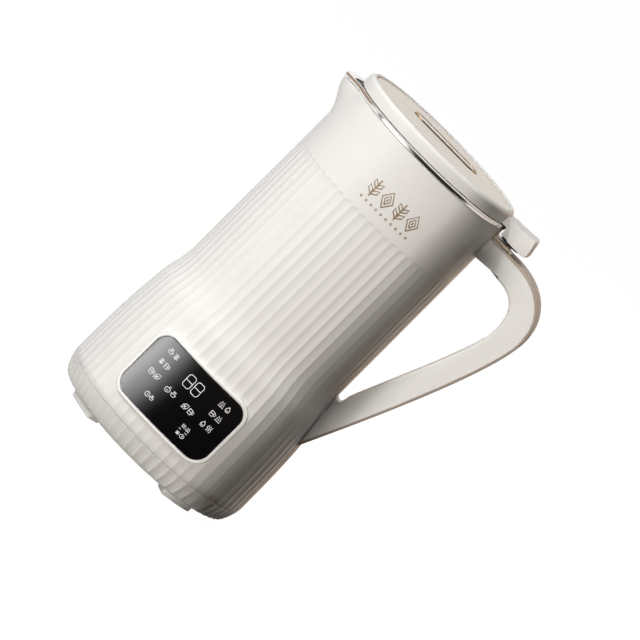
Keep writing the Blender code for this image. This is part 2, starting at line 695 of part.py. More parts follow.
def make_base_cover(stand):
    """Bottom ring and floor, with screw pillars and air vents."""
    top = SEAM_HEIGHT - CLEARANCE
    rise = top - FOOT_HEIGHT
    outline = [(BASE_RADIUS, top)]
    outline += [(BASE_RADIUS * wide, FOOT_HEIGHT + rise * share) for share, wide in BASE_CORNER_SHARES]
    solid = turned([(0, top)] + outline + [(0, FOOT_HEIGHT)], FLUTES * COLUMNS_PER_FLUTE)
    cover = piece("base_cover", press_flutes(solid), IVORY, stand)
    hollow = [(radius - FLOOR_WALL, height) for radius, height in outline[:-2]]
    hollow = [(hollow[0][0], top + OVERRUN)] + hollow
    hollow += [(hollow[-1][0] - FLOOR_WALL, FOOT_HEIGHT + FLOOR_WALL), (0, FOOT_HEIGHT + FLOOR_WALL)]
    shape(cover, turned(hollow + [(0, top + OVERRUN)], INSIDE_COLUMNS), stand)

    pillars = []
    holes = []
    recess_top = FOOT_HEIGHT + SCREW_RECESS
    for degrees in SCREW_ANGLES_DEG:
        place = (*on_circle(SCREW_CIRCLE, degrees), 0)
        pillar = prism(disc(PILLAR_RADIUS), FOOT_HEIGHT + FLOOR_WALL / 2, PILLAR_TOP_HEIGHT)
        pillars.append(moved_to(pillar, place))
        wide = SCREW_HEAD_RADIUS + CLEARANCE
        narrow = SCREW_RADIUS + CLEARANCE
        hole = [(0, FOOT_HEIGHT - OVERRUN), (wide, FOOT_HEIGHT - OVERRUN), (wide, recess_top)]
        hole += [(narrow, recess_top), (narrow, PILLAR_TOP_HEIGHT + OVERRUN)]
        hole.append((0, PILLAR_TOP_HEIGHT + OVERRUN))
        holes.append(moved_to(turned(hole, SMALL_STEPS), place))
    shape(cover, merged(pillars), stand, "UNION")
    shape(cover, merged(holes), stand)
    slot = block(
        (VENT_INNER_RADIUS, -VENT_WIDTH / 2, FOOT_HEIGHT - OVERRUN),
        (VENT_INNER_RADIUS + VENT_LENGTH, VENT_WIDTH / 2, FOOT_HEIGHT + FLOOR_WALL + OVERRUN),
    )
    shape(cover, merged([turned_by(slot, 360 * vent / VENTS) for vent in range(VENTS)]), stand)


def make_base_screws(stand):
    """Screws up through the base cover's pillars into the bosses."""
    seat = FOOT_HEIGHT + SCREW_RECESS - CLEARANCE
    tip = PILLAR_TOP_HEIGHT + SCREW_REACH
    low = seat - SCREW_HEAD_THICKNESS
    outline = [(0, low), (SCREW_HEAD_RADIUS, low), (SCREW_HEAD_RADIUS, seat)]
    outline += [(SCREW_RADIUS, seat), (SCREW_RADIUS, tip - SCREW_RADIUS), (0, tip)]
    names = ("right_rear", "left_rear", "left_front", "right_front")
    for name, degrees in zip(names, SCREW_ANGLES_DEG):
        place = (*on_circle(SCREW_CIRCLE, degrees), 0)
        piece(f"base_screw_{name}", turned(outline, SMALL_STEPS), DARK_STEEL, stand, place)


def make_feet(stand):
    """Four curved rubber pads under the floor."""
    names = ("right_rear", "left_rear", "left_front", "right_front")
    for name, degrees in zip(names, FOOT_ANGLES_DEG):
        outline = []
        for radius, way in ((FOOT_CIRCLE + FOOT_WIDTH / 2, 1), (FOOT_CIRCLE - FOOT_WIDTH / 2, -1)):
            for step in range(-2, 3):
                angle = radians(degrees) + way * step * FOOT_SPREAD / 4
                outline.append((radius * cos(angle), radius * sin(angle)))
        pad = prism(outline, 0, FOOT_HEIGHT - CLEARANCE)
        pad = rounded_edges(pad, FOOT_EDGE, lambda edge: max(v.co.z for v in edge.verts) == 0)
        piece(f"foot_{name}", pad, PALE_RUBBER, stand)


def bezel_width():
    """Outer width of the panel's frame."""
    return PANEL_WIDTH + 2 * (BEZEL_RIM + CLEARANCE)


def bezel_tall():
    """Outer height of the panel's frame."""
    return PANEL_TALL + 2 * (BEZEL_RIM + CLEARANCE)


def bezel_corner():
    """Corner radius of the panel's frame."""
    return PANEL_CORNER + BEZEL_RIM


def panel_lean():
    """Angle by which the panel leans back with the wall."""
    low = body_radius(PANEL_HEIGHT - PANEL_TALL / 2)
    high = body_radius(PANEL_HEIGHT + PANEL_TALL / 2)
    return atan2(low - high, PANEL_TALL)


def panel_front():
    """Distance of the panel's front from the jug's axis, at its middle."""
    return body_radius(PANEL_HEIGHT) + PANEL_PROUD


def curved_bar(front, thickness, half_width, half_tall):
    """An upright plate curved about Z, its middle facing -Y, with its front sunk by front."""
    outer = PANEL_CURVE - front
    inner = outer - thickness
    spread = min(half_width / inner, 1)
    sweep = STOCK_SPARE_SHARE * atan2(spread, sqrt(1 - spread**2))
    angles = [sweep * (2 * step / SMALL_STEPS - 1) for step in range(SMALL_STEPS + 1)]
    outline = [(outer * sin(angle), PANEL_CURVE - outer * cos(angle)) for angle in angles]
    outline += [(inner * sin(angle), PANEL_CURVE - inner * cos(angle)) for angle in reversed(angles)]
    return prism(outline, -half_tall, half_tall)


def make_panel(panel):
    """Frame, glass, circuit board and digits of the touch panel."""
    width, tall = bezel_width(), bezel_tall()
    frame = curved_bar(0, BEZEL_DEPTH, width / 2, tall / 2 + OVERRUN)
    bezel = piece("panel_bezel", frame, IVORY, panel)
    reach = (-OVERRUN, PANEL_CURVE / 2)
    shape(bezel, prism(rounded_rectangle(width, tall, bezel_corner()), *reach, "Y"), panel, "INTERSECT")
    sink = GLASS_SINK + GLASS_THICKNESS + CLEARANCE
    pocket = shape(bezel, curved_bar(-OVERRUN, OVERRUN + sink, width / 2, tall / 2), panel)
    rim = rounded_rectangle(PANEL_WIDTH + 2 * CLEARANCE, PANEL_TALL + 2 * CLEARANCE, PANEL_CORNER)
    shape(pocket, prism(rim, -2 * OVERRUN, reach[1], "Y"), panel, "INTERSECT")
    opening = rounded_rectangle(PANEL_WIDTH - 2 * LEDGE, PANEL_TALL - 2 * LEDGE, PANEL_CORNER - LEDGE)
    shape(bezel, prism(opening, *reach, "Y"), panel)

    pane = curved_bar(GLASS_SINK, GLASS_THICKNESS, PANEL_WIDTH / 2, PANEL_TALL / 2 + OVERRUN)
    glass = piece("panel_glass", pane, BLACK_GLASS, panel)
    outline = rounded_rectangle(PANEL_WIDTH, PANEL_TALL, PANEL_CORNER)
    shape(glass, prism(outline, *reach, "Y"), panel, "INTERSECT")

    back = PANEL_CURVE - sqrt((PANEL_CURVE - BEZEL_DEPTH) ** 2 - (BOARD_WIDTH / 2) ** 2)
    front = back + CLEARANCE
    half_tall = (PANEL_TALL - LEDGE) / 2
    low = (-BOARD_WIDTH / 2, front, -half_tall)
    high = (BOARD_WIDTH / 2, front + BOARD_THICKNESS, half_tall)
    piece("display_board", block(low, high), BOARD_GREEN, panel)
    rear = PANEL_CURVE - GLASS_SINK - GLASS_THICKNESS
    face = PANEL_CURVE - sqrt(rear**2 - (DIGITS_WIDTH / 2) ** 2) + CLEARANCE
    low = (-DIGITS_WIDTH / 2, face, -DIGITS_TALL / 2)
    high = (DIGITS_WIDTH / 2, front - CLEARANCE, DIGITS_TALL / 2)
    lift = (0, 0, DIGITS_RISE)
    piece("digit_display", moved_to(block(low, high), lift), GREY_PLASTIC, panel)


def rim_top():
    """Height of the steel rim's upper face."""
    return SHELL_TOP_HEIGHT + CLEARANCE + RIM_THICKNESS


def make_inner_cup(stand):
    """Drawn steel cup with a rolled rim and the pouring lip."""
    low = CUP_FLOOR_HEIGHT - CUP_FLOOR_WALL
    outer = CUP_RADIUS + CUP_WALL
    bore = SEAT_STEM_RADIUS + CLEARANCE
    rim_low = SHELL_TOP_HEIGHT + CLEARANCE
    outline = [(bore, low), (outer - CUP_CORNER - CUP_WALL, low), (outer, low + CUP_CORNER)]
    outline += [(outer, height) for height in spout_heights()]
    outline += [(outer, rim_low), (RIM_RADIUS, rim_low), (RIM_RADIUS, rim_top()), (outer, rim_top())]
    outline += [(CUP_RADIUS, rim_top() - CUP_WALL)]
    outline += [(CUP_RADIUS, height) for height in reversed(spout_heights())]
    outline += [(CUP_RADIUS, CUP_FLOOR_HEIGHT + CUP_CORNER), (CUP_RADIUS - CUP_CORNER, CUP_FLOOR_HEIGHT)]
    outline.append((bore, CUP_FLOOR_HEIGHT))
    piece("inner_cup", press_spout(turned(outline, CUP_COLUMNS)), STEEL, stand)


def make_cup_support(stand):
    """Ring on the bosses that carries the cup."""
    low = DECK_HEIGHT
    deck = low + SUPPORT_THICKNESS
    high = PLATE_TOP_HEIGHT
    outer = CUP_RADIUS
    inner = outer - SUPPORT_RIM_WALL
    outline = [(SUPPORT_BORE, low), (SUPPORT_RADIUS, low), (SUPPORT_RADIUS, deck), (outer, deck)]
    outline += [(outer, high), (inner, high), (inner, deck), (SUPPORT_BORE, deck)]
    piece("cup_support", turned(outline, 36), GREY_PLASTIC, stand)


def make_heater(stand):
    """Heating plate with its element, temperature sensor and thermal fuse."""
    top = PLATE_TOP_HEIGHT
    low = top - PLATE_THICKNESS
    piece("heating_plate", ring(PLATE_BORE, PLATE_RADIUS, low, top, 36), CAST, stand)

    under = low - CLEARANCE
    bm = bmesh.new()
    section = []
    for u, v in disc(ELEMENT_RADIUS / cos(pi / 8), 8):
        section.append(bm.verts.new((ELEMENT_CIRCLE + u, 0, under - ELEMENT_RADIUS + v)))
    edges = [bm.edges.new((a, b)) for a, b in zip(section, section[1:] + section[:1])]
    flat_up = Matrix.Rotation(pi / 8, 3, "Y")
    middle = (ELEMENT_CIRCLE, 0, under - ELEMENT_RADIUS)
    bmesh.ops.rotate(bm, verts=section, cent=middle, matrix=flat_up)
    bmesh.ops.spin(
        bm,
        geom=section + edges,
        cent=(0, 0, 0),
        axis=(0, 0, 1),
        angle=ELEMENT_SWEEP,
        steps=ROUND_STEPS * 3 // 4,
    )
    bmesh.ops.holes_fill(bm, edges=[edge for edge in bm.edges if edge.is_boundary])
    piece("heating_element", bm, CAST, stand)

    sensor = ring(0, SENSOR_RADIUS, under - SENSOR_LENGTH, under)
    piece("temperature_sensor", sensor, BRASS, stand, (0, SENSOR_CIRCLE, 0))
    fuse = prism(disc(FUSE_RADIUS), -FUSE_LENGTH / 2, FUSE_LENGTH / 2, "X")
    piece("thermal_fuse", fuse, WHITE_SILICONE, stand, (0, -SENSOR_CIRCLE, under - FUSE_RADIUS))


def seat_top():
    """Upper face of the bearing seat's flange."""
    return CUP_FLOOR_HEIGHT + CLEARANCE + SEAT_FLANGE_THICKNESS


def make_bearing_seat(stand):
    """Flanged seat through the cup's floor, its nut, the bush and the shaft seal."""
    top = seat_top()
    flange = CUP_FLOOR_HEIGHT + CLEARANCE
    low = flange - SEAT_STEM_LENGTH
    outline = [(SEAT_BORE, low), (SEAT_STEM_RADIUS, low), (SEAT_STEM_RADIUS, flange)]
    outline += [(SEAT_FLANGE_RADIUS, flange), (SEAT_FLANGE_RADIUS, top - SEAT_EDGE)]
    outline += [(SEAT_FLANGE_RADIUS - SEAT_EDGE, top), (SEAT_BORE, top)]
    piece("bearing_seat", turned(outline), STEEL, stand)
    nut = ring(SEAT_STEM_RADIUS + CLEARANCE, NUT_RADIUS, PLATE_TOP_HEIGHT - NUT_LENGTH, PLATE_TOP_HEIGHT)
    piece("seat_nut", nut, BRASS, stand)
    bore = SHAFT_RADIUS + CLEARANCE
    outer = SEAT_BORE - CLEARANCE
    split = top - SEAL_STACK
    piece("seat_bush", ring(bore, outer, low + CLEARANCE, split - CLEARANCE), BRASS, stand)
    piece("shaft_seal", ring(bore, outer, split, top), BLACK_RUBBER, stand)


def blade(lift, tilt):
    """Two-armed blade along X as a lofted strip: lift is its lower face, tilt its tips' rise."""
    bend = BLADE_BEND
    middle = (bend + BLADE_REACH) / 2
    stations = (
        (-BLADE_REACH, BLADE_TIP_HALF_WIDTH, tilt),
        (-middle, BLADE_HUB_HALF_WIDTH * BLADE_TAPER_SHARE, tilt / 2),
        (-bend, BLADE_HUB_HALF_WIDTH, 0),
        (bend, BLADE_HUB_HALF_WIDTH, 0),
        (middle, BLADE_HUB_HALF_WIDTH * BLADE_TAPER_SHARE, tilt / 2),
        (BLADE_REACH, BLADE_TIP_HALF_WIDTH, tilt),
    )
    bm = bmesh.new()
    rows = []
    for x, half, rise in stations:
        low = lift + rise
        high = low + BLADE_THICKNESS
        corners = ((-half, low), (half, low), (half, high), (-half, high))
        rows.append([bm.verts.new((x, y, z)) for y, z in corners])
    for near, far in zip(rows, rows[1:]):
        for side in range(4):
            after = (side + 1) % 4
            bm.faces.new((near[side], near[after], far[after], far[side]))
    bm.faces.new(rows[0])
    bm.faces.new(rows[-1])
    return bm


def make_blades(spin):
    """Spacer, crossed blades and their cap nut on top of the shaft. Heights are the jug's."""
    bore = SHAFT_RADIUS + CLEARANCE
    low = seat_top() + BLADE_RUN_GAP
    piece("blade_spacer", ring(bore, SPACER_RADIUS, low, low + SPACER_LENGTH), STEEL, spin)
    lower = low + SPACER_LENGTH + CLEARANCE
    upper = lower + BLADE_THICKNESS + CLEARANCE
    down = piece("blade_lower", turned_by(blade(lower, -BLADE_TIP_DROP), 90), STEEL, spin)
    up = piece("blade_upper", blade(upper, BLADE_TIP_RISE), STEEL, spin)
    for knife in (down, up):
        shape(knife, ring(0, bore, low, upper + 2 * BLADE_THICKNESS), spin)
    nut_low = upper + BLADE_THICKNESS + CLEARANCE
    nut_top = nut_low + BLADE_NUT_LENGTH
    hollow = nut_top - BLADE_NUT_CAP
    outline = [(bore, nut_low), (BLADE_NUT_RADIUS, nut_low), (BLADE_NUT_RADIUS, hollow)]
    outline += [(BLADE_NUT_RADIUS / 2, nut_top), (0, nut_top), (0, hollow), (bore, hollow)]
    piece("blade_nut", turned(outline, SMALL_STEPS), STEEL, spin)
    shaft = ring(0, SHAFT_RADIUS, SHAFT_BOTTOM_HEIGHT, hollow - CLEARANCE)
    piece("motor_shaft", shaft, DARK_STEEL, spin)


def bearing_bore():
    """Radius of the pockets that the bearings sit in."""
    return BEARING_RADIUS + CLEARANCE


def make_motor(stand, spin):
    """Motor hung from the support ring on rubber dampers."""
    damper_low = BRACKET_TOP_HEIGHT + CLEARANCE
    for number in range(DAMPERS):
        place = (*on_circle(DAMPER_CIRCLE, 90 + 360 * number / DAMPERS), 0)
        rubber = ring(0, DAMPER_RADIUS, damper_low, damper_low + DAMPER_LENGTH, SMALL_STEPS)
        piece(f"motor_damper_{number + 1}", rubber, BLACK_RUBBER, stand, place)

    hole = SHAFT_RADIUS + 3 * CLEARANCE
    cup = bearing_bore() + BEARING_CUP_WALL
    top = BRACKET_TOP_HEIGHT
    low = BRACKET_HEIGHT
    web = (low + top) / 2
    skirt = low - MOTOR_SKIRT
    pocket = web - BEARING_LENGTH - CLEARANCE
    outline = [(hole, top), (hole, web), (bearing_bore(), web), (bearing_bore(), pocket), (cup, pocket)]
    outline += [(cup, low), (MOTOR_RADIUS - MOTOR_WALL, low), (MOTOR_RADIUS - MOTOR_WALL, skirt)]
    outline += [(MOTOR_RADIUS, skirt), (MOTOR_RADIUS, low), (BRACKET_RADIUS, low), (BRACKET_RADIUS, top)]
    piece("motor_bracket", turned(outline), CAST, stand)
    bore = SHAFT_RADIUS + CLEARANCE
    high = web - CLEARANCE
    upper = ring(bore, BEARING_RADIUS, high - BEARING_LENGTH, high)
    piece("upper_bearing", upper, DARK_STEEL, stand)

    body = ring(STATOR_BORE, MOTOR_RADIUS, STATOR_HEIGHT, skirt - CLEARANCE, 32)
    piece("stator", body, DARK_STEEL, stand)

    cap_top = STATOR_HEIGHT - CLEARANCE
    cap_low = END_CAP_HEIGHT
    floor = cap_low + MOTOR_WALL
    seat = cap_low + MOTOR_WALL - CLEARANCE
    rim = seat + CLEARANCE + BEARING_LENGTH
    outline = [(hole, cap_low), (MOTOR_RADIUS, cap_low), (MOTOR_RADIUS, cap_top)]
    outline += [(MOTOR_RADIUS - MOTOR_WALL, cap_top), (MOTOR_RADIUS - MOTOR_WALL, floor), (cup, floor)]
    outline += [(cup, rim), (bearing_bore(), rim), (bearing_bore(), seat), (hole, seat)]
    piece("motor_end_cap", turned(outline), CAST, stand)
    lower = ring(bore, BEARING_RADIUS, seat + CLEARANCE, seat + CLEARANCE + BEARING_LENGTH)
    piece("lower_bearing", lower, DARK_STEEL, stand)

    core_low = STATOR_HEIGHT + 2 * CLEARANCE
    core = ring(bore, STATOR_BORE - AIR_GAP, core_low, pocket - CLEARANCE, 32)
    piece("rotor_core", core, DARK_STEEL, spin)
    make_fan(spin)


def make_fan(spin):
    """Cooling fan at the shaft's lower end, under the end cap."""
    low = FAN_LOW_HEIGHT
    disc_top = low + FAN_DISC
    high = low + FAN_HEIGHT
    bore = SHAFT_RADIUS + CLEARANCE
    outline = [(bore, low), (FAN_RADIUS, low), (FAN_RADIUS, disc_top), (FAN_HUB_RADIUS, disc_top)]
    outline += [(FAN_HUB_RADIUS, high), (bore, high)]
    fan = piece("cooling_fan", turned(outline), GREY_PLASTIC, spin)
    inner = (FAN_HUB_RADIUS + bore) / 2
    vane = block(
        (inner, -FAN_BLADE_WALL / 2, low + FAN_DISC / 2),
        (FAN_RADIUS - FAN_BLADE_WALL, FAN_BLADE_WALL / 2, high - FAN_DISC),
    )
    vanes = [turned_by(vane, 360 * number / FAN_BLADES) for number in range(FAN_BLADES)]
    shape(fan, merged(vanes), spin, "UNION")


def make_power_board(stand):
    """Upright board between the two bosses on the handle's side, with its parts."""
    x, y = on_circle(SCREW_CIRCLE, SCREW_ANGLES_DEG[0])
    half = y - BOSS_RADIUS - CLEARANCE
    low = POWER_BOARD_BOTTOM_HEIGHT
    high = low + POWER_BOARD_TALL
    inner = x - POWER_BOARD_THICKNESS / 2
    face = inner + POWER_BOARD_THICKNESS / 2
    bm = block((inner, -half, low), (inner + POWER_BOARD_THICKNESS, half, high))
    board = piece("power_board", bm, BOARD_GREEN, stand)
    parts = []
    space = inner - MOTOR_RADIUS
    capacitor = (CAPACITOR_DEPTH_SHARE, CAPACITOR_SHARES)
    relay = (RELAY_DEPTH_SHARE, RELAY_SHARES)
    for deep, (near, far) in (capacitor, relay):
        corner_low = (inner - space * deep, half * near[0], low + POWER_BOARD_TALL * near[1])
        corner_high = (face, half * far[0], low + POWER_BOARD_TALL * far[1])
        parts.append(block(corner_low, corner_high))
    shape(board, merged(parts), stand, "UNION")


def inlet_face():
    """Distance of the inlet's outer face behind the jug's axis."""
    half = INLET_WIDTH / 2
    return sqrt(body_radius(INLET_HEIGHT) ** 2 - half**2) + INLET_SINK


def make_inlet(stand):
    """Power inlet: a recessed socket with an inner flange and three blades."""
    face = inlet_face()
    back = face - INLET_LENGTH
    outline = rounded_rectangle(INLET_WIDTH, INLET_TALL, INLET_CORNER)
    place = (0, 0, INLET_HEIGHT)
    socket = piece("inlet_socket", moved_to(prism(outline, back, face, "Y"), place), BLACK_RUBBER, stand)
    wide = rounded_rectangle(INLET_WIDTH + 2 * INLET_FLANGE, INLET_TALL + 2 * INLET_FLANGE, INLET_CORNER)
    flange_high = face - INLET_FLANGE_BACK
    flange = prism(wide, flange_high - INLET_FLANGE_THICKNESS, flange_high, "Y")
    shape(socket, moved_to(flange, place), stand, "UNION")
    wide, tall = INLET_WIDTH - 2 * INLET_WALL, INLET_TALL - 2 * INLET_WALL
    hollow = rounded_rectangle(wide, tall, INLET_CORNER - INLET_WALL)
    shape(socket, moved_to(prism(hollow, face - INLET_RECESS, face + OVERRUN, "Y"), place), stand)
    low = face - INLET_RECESS + CLEARANCE
    names = {"line": (-1, -1), "neutral": (1, -1), "earth": (0, 1)}
    for name, (side, up) in names.items():
        at = (side * CONTACT_PITCH, 0, INLET_HEIGHT + up * CONTACT_RISE)
        half = CONTACT_THICKNESS / 2
        blade_low = (-half, low, -CONTACT_TALL / 2)
        blade_high = (half, low + CONTACT_LENGTH, CONTACT_TALL / 2)
        piece(f"inlet_{name}", moved_to(block(blade_low, blade_high), at), BRASS, stand)


def bezier(knots, steps=HANDLE_CURVE_STEPS):
    """Points of one cubic curve in the XZ plane."""
    points = interpolate_bezier(*[Vector((x, 0, z)) for x, z in knots], steps)
    return [(point.x, point.z) for point in points]


def handle_outer_edge():
    """The handle's outer edge, from inside the jug's wall at the top to inside it at the foot."""
    shoulder = (HANDLE_SHOULDER, HANDLE_TOP_HEIGHT)
    reach = (HANDLE_REACH, HANDLE_REACH_HEIGHT)
    foot = (body_radius(HANDLE_FOOT_HEIGHT) + 2 * CLEARANCE, HANDLE_FOOT_HEIGHT)
    pull = HANDLE_OUTER_PULL_SHARES
    over = bezier((
        shoulder,
        (shoulder[0] + pull[0] * (reach[0] - shoulder[0]), shoulder[1]),
        (reach[0], reach[1] + pull[1] * (shoulder[1] - reach[1])),
        reach,
    ))
    last_pull = (pull[3] * (reach[0] - foot[0]), pull[4] * (reach[1] - foot[1]))
    down = bezier((
        reach,
        (reach[0], reach[1] - pull[2] * (reach[1] - foot[1])),
        (foot[0] + last_pull[0], foot[1] + last_pull[1]),
        foot,
    ))
    beyond = (foot[0] - last_pull[0] / 4, foot[1] - last_pull[1] / 4)
    return [(TOP_RADIUS - SHELL_WALL, HANDLE_TOP_HEIGHT)] + over + down[1:] + [beyond]


def handle_grip_curve():
    """The handle's inner curve, from its foot up to its shoulder."""
    top = HANDLE_TOP_HEIGHT - HANDLE_ROOT_DEPTH
    shoulder = (HANDLE_SHOULDER + CLEARANCE, top)
    reach = (HANDLE_REACH - HANDLE_THICKNESS, HANDLE_REACH_HEIGHT - HANDLE_INNER_DROP)
    foot = (WAIST_RADIUS + HANDLE_INNER_FOOT_OUT, HANDLE_INNER_FOOT_HEIGHT)
    pull = HANDLE_INNER_PULL_SHARES
    up = bezier((
        foot,
        (foot[0] + pull[3] * (reach[0] - foot[0]), foot[1] + pull[4] * (reach[1] - foot[1])),
        (reach[0], reach[1] - pull[2] * (reach[1] - foot[1])),
        reach,
    ))
    over = bezier((
        reach,
        (reach[0], reach[1] + pull[1] * (top - reach[1])),
        (shoulder[0] + pull[0] * (reach[0] - shoulder[0]), top),
        shoulder,
    ))
    return up + over[1:]


def handle_inner_edge():
    """The handle's inner edge, from the crotch at its foot up to inside the jug's wall."""
    crotch = []
    for degrees in HANDLE_CROTCH_DEG:
        u, v = on_circle(HANDLE_CROTCH, degrees)
        crotch.append((WAIST_RADIUS + HANDLE_CROTCH / 2 + u, WAIST_HEIGHT + v))
    inside = TOP_RADIUS - SHELL_WALL
    curve = handle_grip_curve()
    return [(inside - OVERRUN, crotch[0][1])] + crotch + curve + [(inside, curve[-1][1])]


def offset_edge(edge, distance):
    """Move an open line of points sideways, to the right of its way."""
    moved = []
    for index, point in enumerate(edge):
        before = Vector(edge[max(index - 1, 0)])
        after = Vector(edge[min(index + 1, len(edge) - 1)])
        way = (after - before).normalized()
        moved.append((point[0] + way.y * distance, point[1] - way.x * distance))
    return moved


def body_envelope(gap):
    """Smooth body just outside the crests, which the handle's roots are trimmed to."""
    heights = flare_heights() + spout_heights()[:1] + [SHELL_TOP_HEIGHT]
    wall = [(body_radius(height) + gap, height) for height in heights]
    low = (wall[0][0], SEAM_HEIGHT - OVERRUN)
    high = (wall[-1][0], SHELL_TOP_HEIGHT + OVERRUN)
    return turned([(0, low[1]), low, *wall, high, (0, high[1])], 2 * FLUTES)


def handle_screw_heights():
    """Heights of the two screws that hold the handle."""
    return HANDLE_TOP_HEIGHT - UPPER_SCREW_DROP, LOWER_SCREW_HEIGHT


def make_handle(stand):
    """Handle body, a channel closed by the cover along its outer edge, and their two screws."""
    half = HANDLE_WIDTH / 2
    outer = handle_outer_edge()
    inner = handle_inner_edge()
    skin = offset_edge(outer, HANDLE_COVER_WALL)
    seam = offset_edge(outer, HANDLE_COVER_WALL + CLEARANCE)

    strip = prism(outer + list(reversed(skin)), -half, half, "Y")
    strip = rounded_edges(strip, HANDLE_EDGE, lambda edge: edge_follows(edge, outer, half))
    cover = piece("handle_cover", strip, IVORY, stand)
    shape(cover, body_envelope(CLEARANCE), stand)

    trunk = prism(seam + inner, -half, half, "Y")
    curve = handle_grip_curve()
    trunk = rounded_edges(trunk, HANDLE_EDGE, lambda edge: edge_follows(edge, curve, half))
    body = piece("handle_body", trunk, IVORY, stand)
    shape(body, body_envelope(CLEARANCE), stand)
    shape(body, handle_cavity(seam, inner), stand)

    pocket_low = HANDLE_TOP_HEIGHT - POCKET_DEPTH
    long_half = SOCKET_COLLAR_LENGTH / 2 + CLEARANCE
    wide_half = SOCKET_COLLAR_WIDTH / 2 + CLEARANCE
    for target in (body, cover):
        corner_low = (COUPLER_OUT - long_half, -wide_half, pocket_low)
        corner_high = (COUPLER_OUT + long_half, wide_half, HANDLE_TOP_HEIGHT + OVERRUN)
        shape(target, block(corner_low, corner_high), stand)

    for name, height in zip(("upper", "lower"), handle_screw_heights()):
        wall = body_radius(height)
        tip = wall + HANDLE_SCREW_REACH
        bore = prism(disc(SCREW_RADIUS + CLEARANCE, SMALL_STEPS, BORE_TURN_SHARE), 0, tip + CLEARANCE, "X")
        shape(body, moved_to(bore, (0, 0, height)), stand)
        seat = screw_seat(height)
        head = seat - HANDLE_SCREW_HEAD_THICKNESS
        outline = [(0, head), (HANDLE_SCREW_HEAD_RADIUS, head), (HANDLE_SCREW_HEAD_RADIUS, seat)]
        outline += [(SCREW_RADIUS, seat), (SCREW_RADIUS, tip), (0, tip)]
        pin = turned(outline, SMALL_STEPS)
        screw = piece(f"handle_screw_{name}", pin, DARK_STEEL, stand, (0, 0, height))
        screw.rotation_euler = (0, pi / 2, 0)


def screw_seat(height):
    """Where a handle screw's head bears inside the shell: the wall's nearest point over the head."""
    edge = body_radius(height + HANDLE_SCREW_HEAD_RADIUS) - SHELL_WALL
    side = HANDLE_SCREW_HEAD_RADIUS
    return sqrt(edge**2 - side**2) - CLEARANCE


def edge_follows(edge, line, half):
    """True for an edge on either side face that runs along the given line."""
    near = CLEARANCE / 10
    for vert in edge.verts:
        off_line = min(hypot(vert.co.x - x, vert.co.z - z) for x, z in line)
        if off_line > near or abs(abs(vert.co.y) - half) > near:
            return False
    return abs(edge.verts[0].co.y - edge.verts[1].co.y) < near


def handle_cavity(seam, inner):
    """The channel inside the handle's body, open towards the cover."""
    count = len(seam)
    first = ceil(count * HANDLE_CAVITY_START_SHARE)
    last = round(count * HANDLE_CAVITY_END_SHARE)
    outer_run = offset_edge(seam, -OVERRUN)[first:last]
    grip = offset_edge(inner, HANDLE_WALL)
    low = seam[last - 1][1]
    left = seam[first][0] - HANDLE_WALL
    inner_run = [point for point in grip if point[1] > low and point[0] > left]
    half = HANDLE_WIDTH / 2 - HANDLE_WALL
    return prism(outer_run + inner_run, -half, half, "Y")


def make_coupler(stand, press):
    """Socket on the handle's top, the lid switch under it and the plunger between."""
    low = HANDLE_TOP_HEIGHT + CLEARANCE
    top = low + SOCKET_PLATE
    collar_low = HANDLE_TOP_HEIGHT - SOCKET_COLLAR_DEPTH
    plate = rounded_rectangle(SOCKET_LENGTH, SOCKET_WIDTH, SOCKET_PLATE)
    socket = piece("coupler_socket", prism(plate, low, top), COPPER_TONE, stand, (COUPLER_OUT, 0, 0))
    collar = block(
        (-SOCKET_COLLAR_LENGTH / 2, -SOCKET_COLLAR_WIDTH / 2, collar_low),
        (SOCKET_COLLAR_LENGTH / 2, SOCKET_COLLAR_WIDTH / 2, low + SOCKET_PLATE / 2),
    )
    place = (COUPLER_OUT, 0, 0)
    shape(socket, collar, stand, "UNION", place)
    guide = prism(disc(PLUNGER_RADIUS + CLEARANCE), collar_low - OVERRUN, top + OVERRUN)
    holes = [guide]
    for side in (-1, 1):
        hole = prism(disc(PIN_RADIUS + CLEARANCE), collar_low - OVERRUN, top + OVERRUN)
        holes.append(moved_to(hole, (0, side * PIN_OFFSET, 0)))
    shape(socket, merged(holes), stand, "DIFFERENCE", place)

    side = SWITCH_SIDE / 2
    switch_low = HANDLE_TOP_HEIGHT - POCKET_DEPTH + CLEARANCE
    bm = block((-side, -side, switch_low), (side, side, switch_low + SWITCH_HEIGHT))
    piece("lid_switch", bm, BLACK_RUBBER, stand, place)
    plunger = ring(0, PLUNGER_RADIUS, top - PLUNGER_LENGTH, top, SMALL_STEPS)
    piece("lid_switch_plunger", plunger, PALE_RUBBER, press)


def lid_low():
    """Lower edge of the lid's skirt, on the steel rim."""
    return rim_top() + CLEARANCE


def lid_top():
    """Highest face of the lid."""
    return lid_low() + LID_HEIGHT


def recess_floor():
    """Floor of the lid's round recess."""
    return lid_top() - LID_RECESS


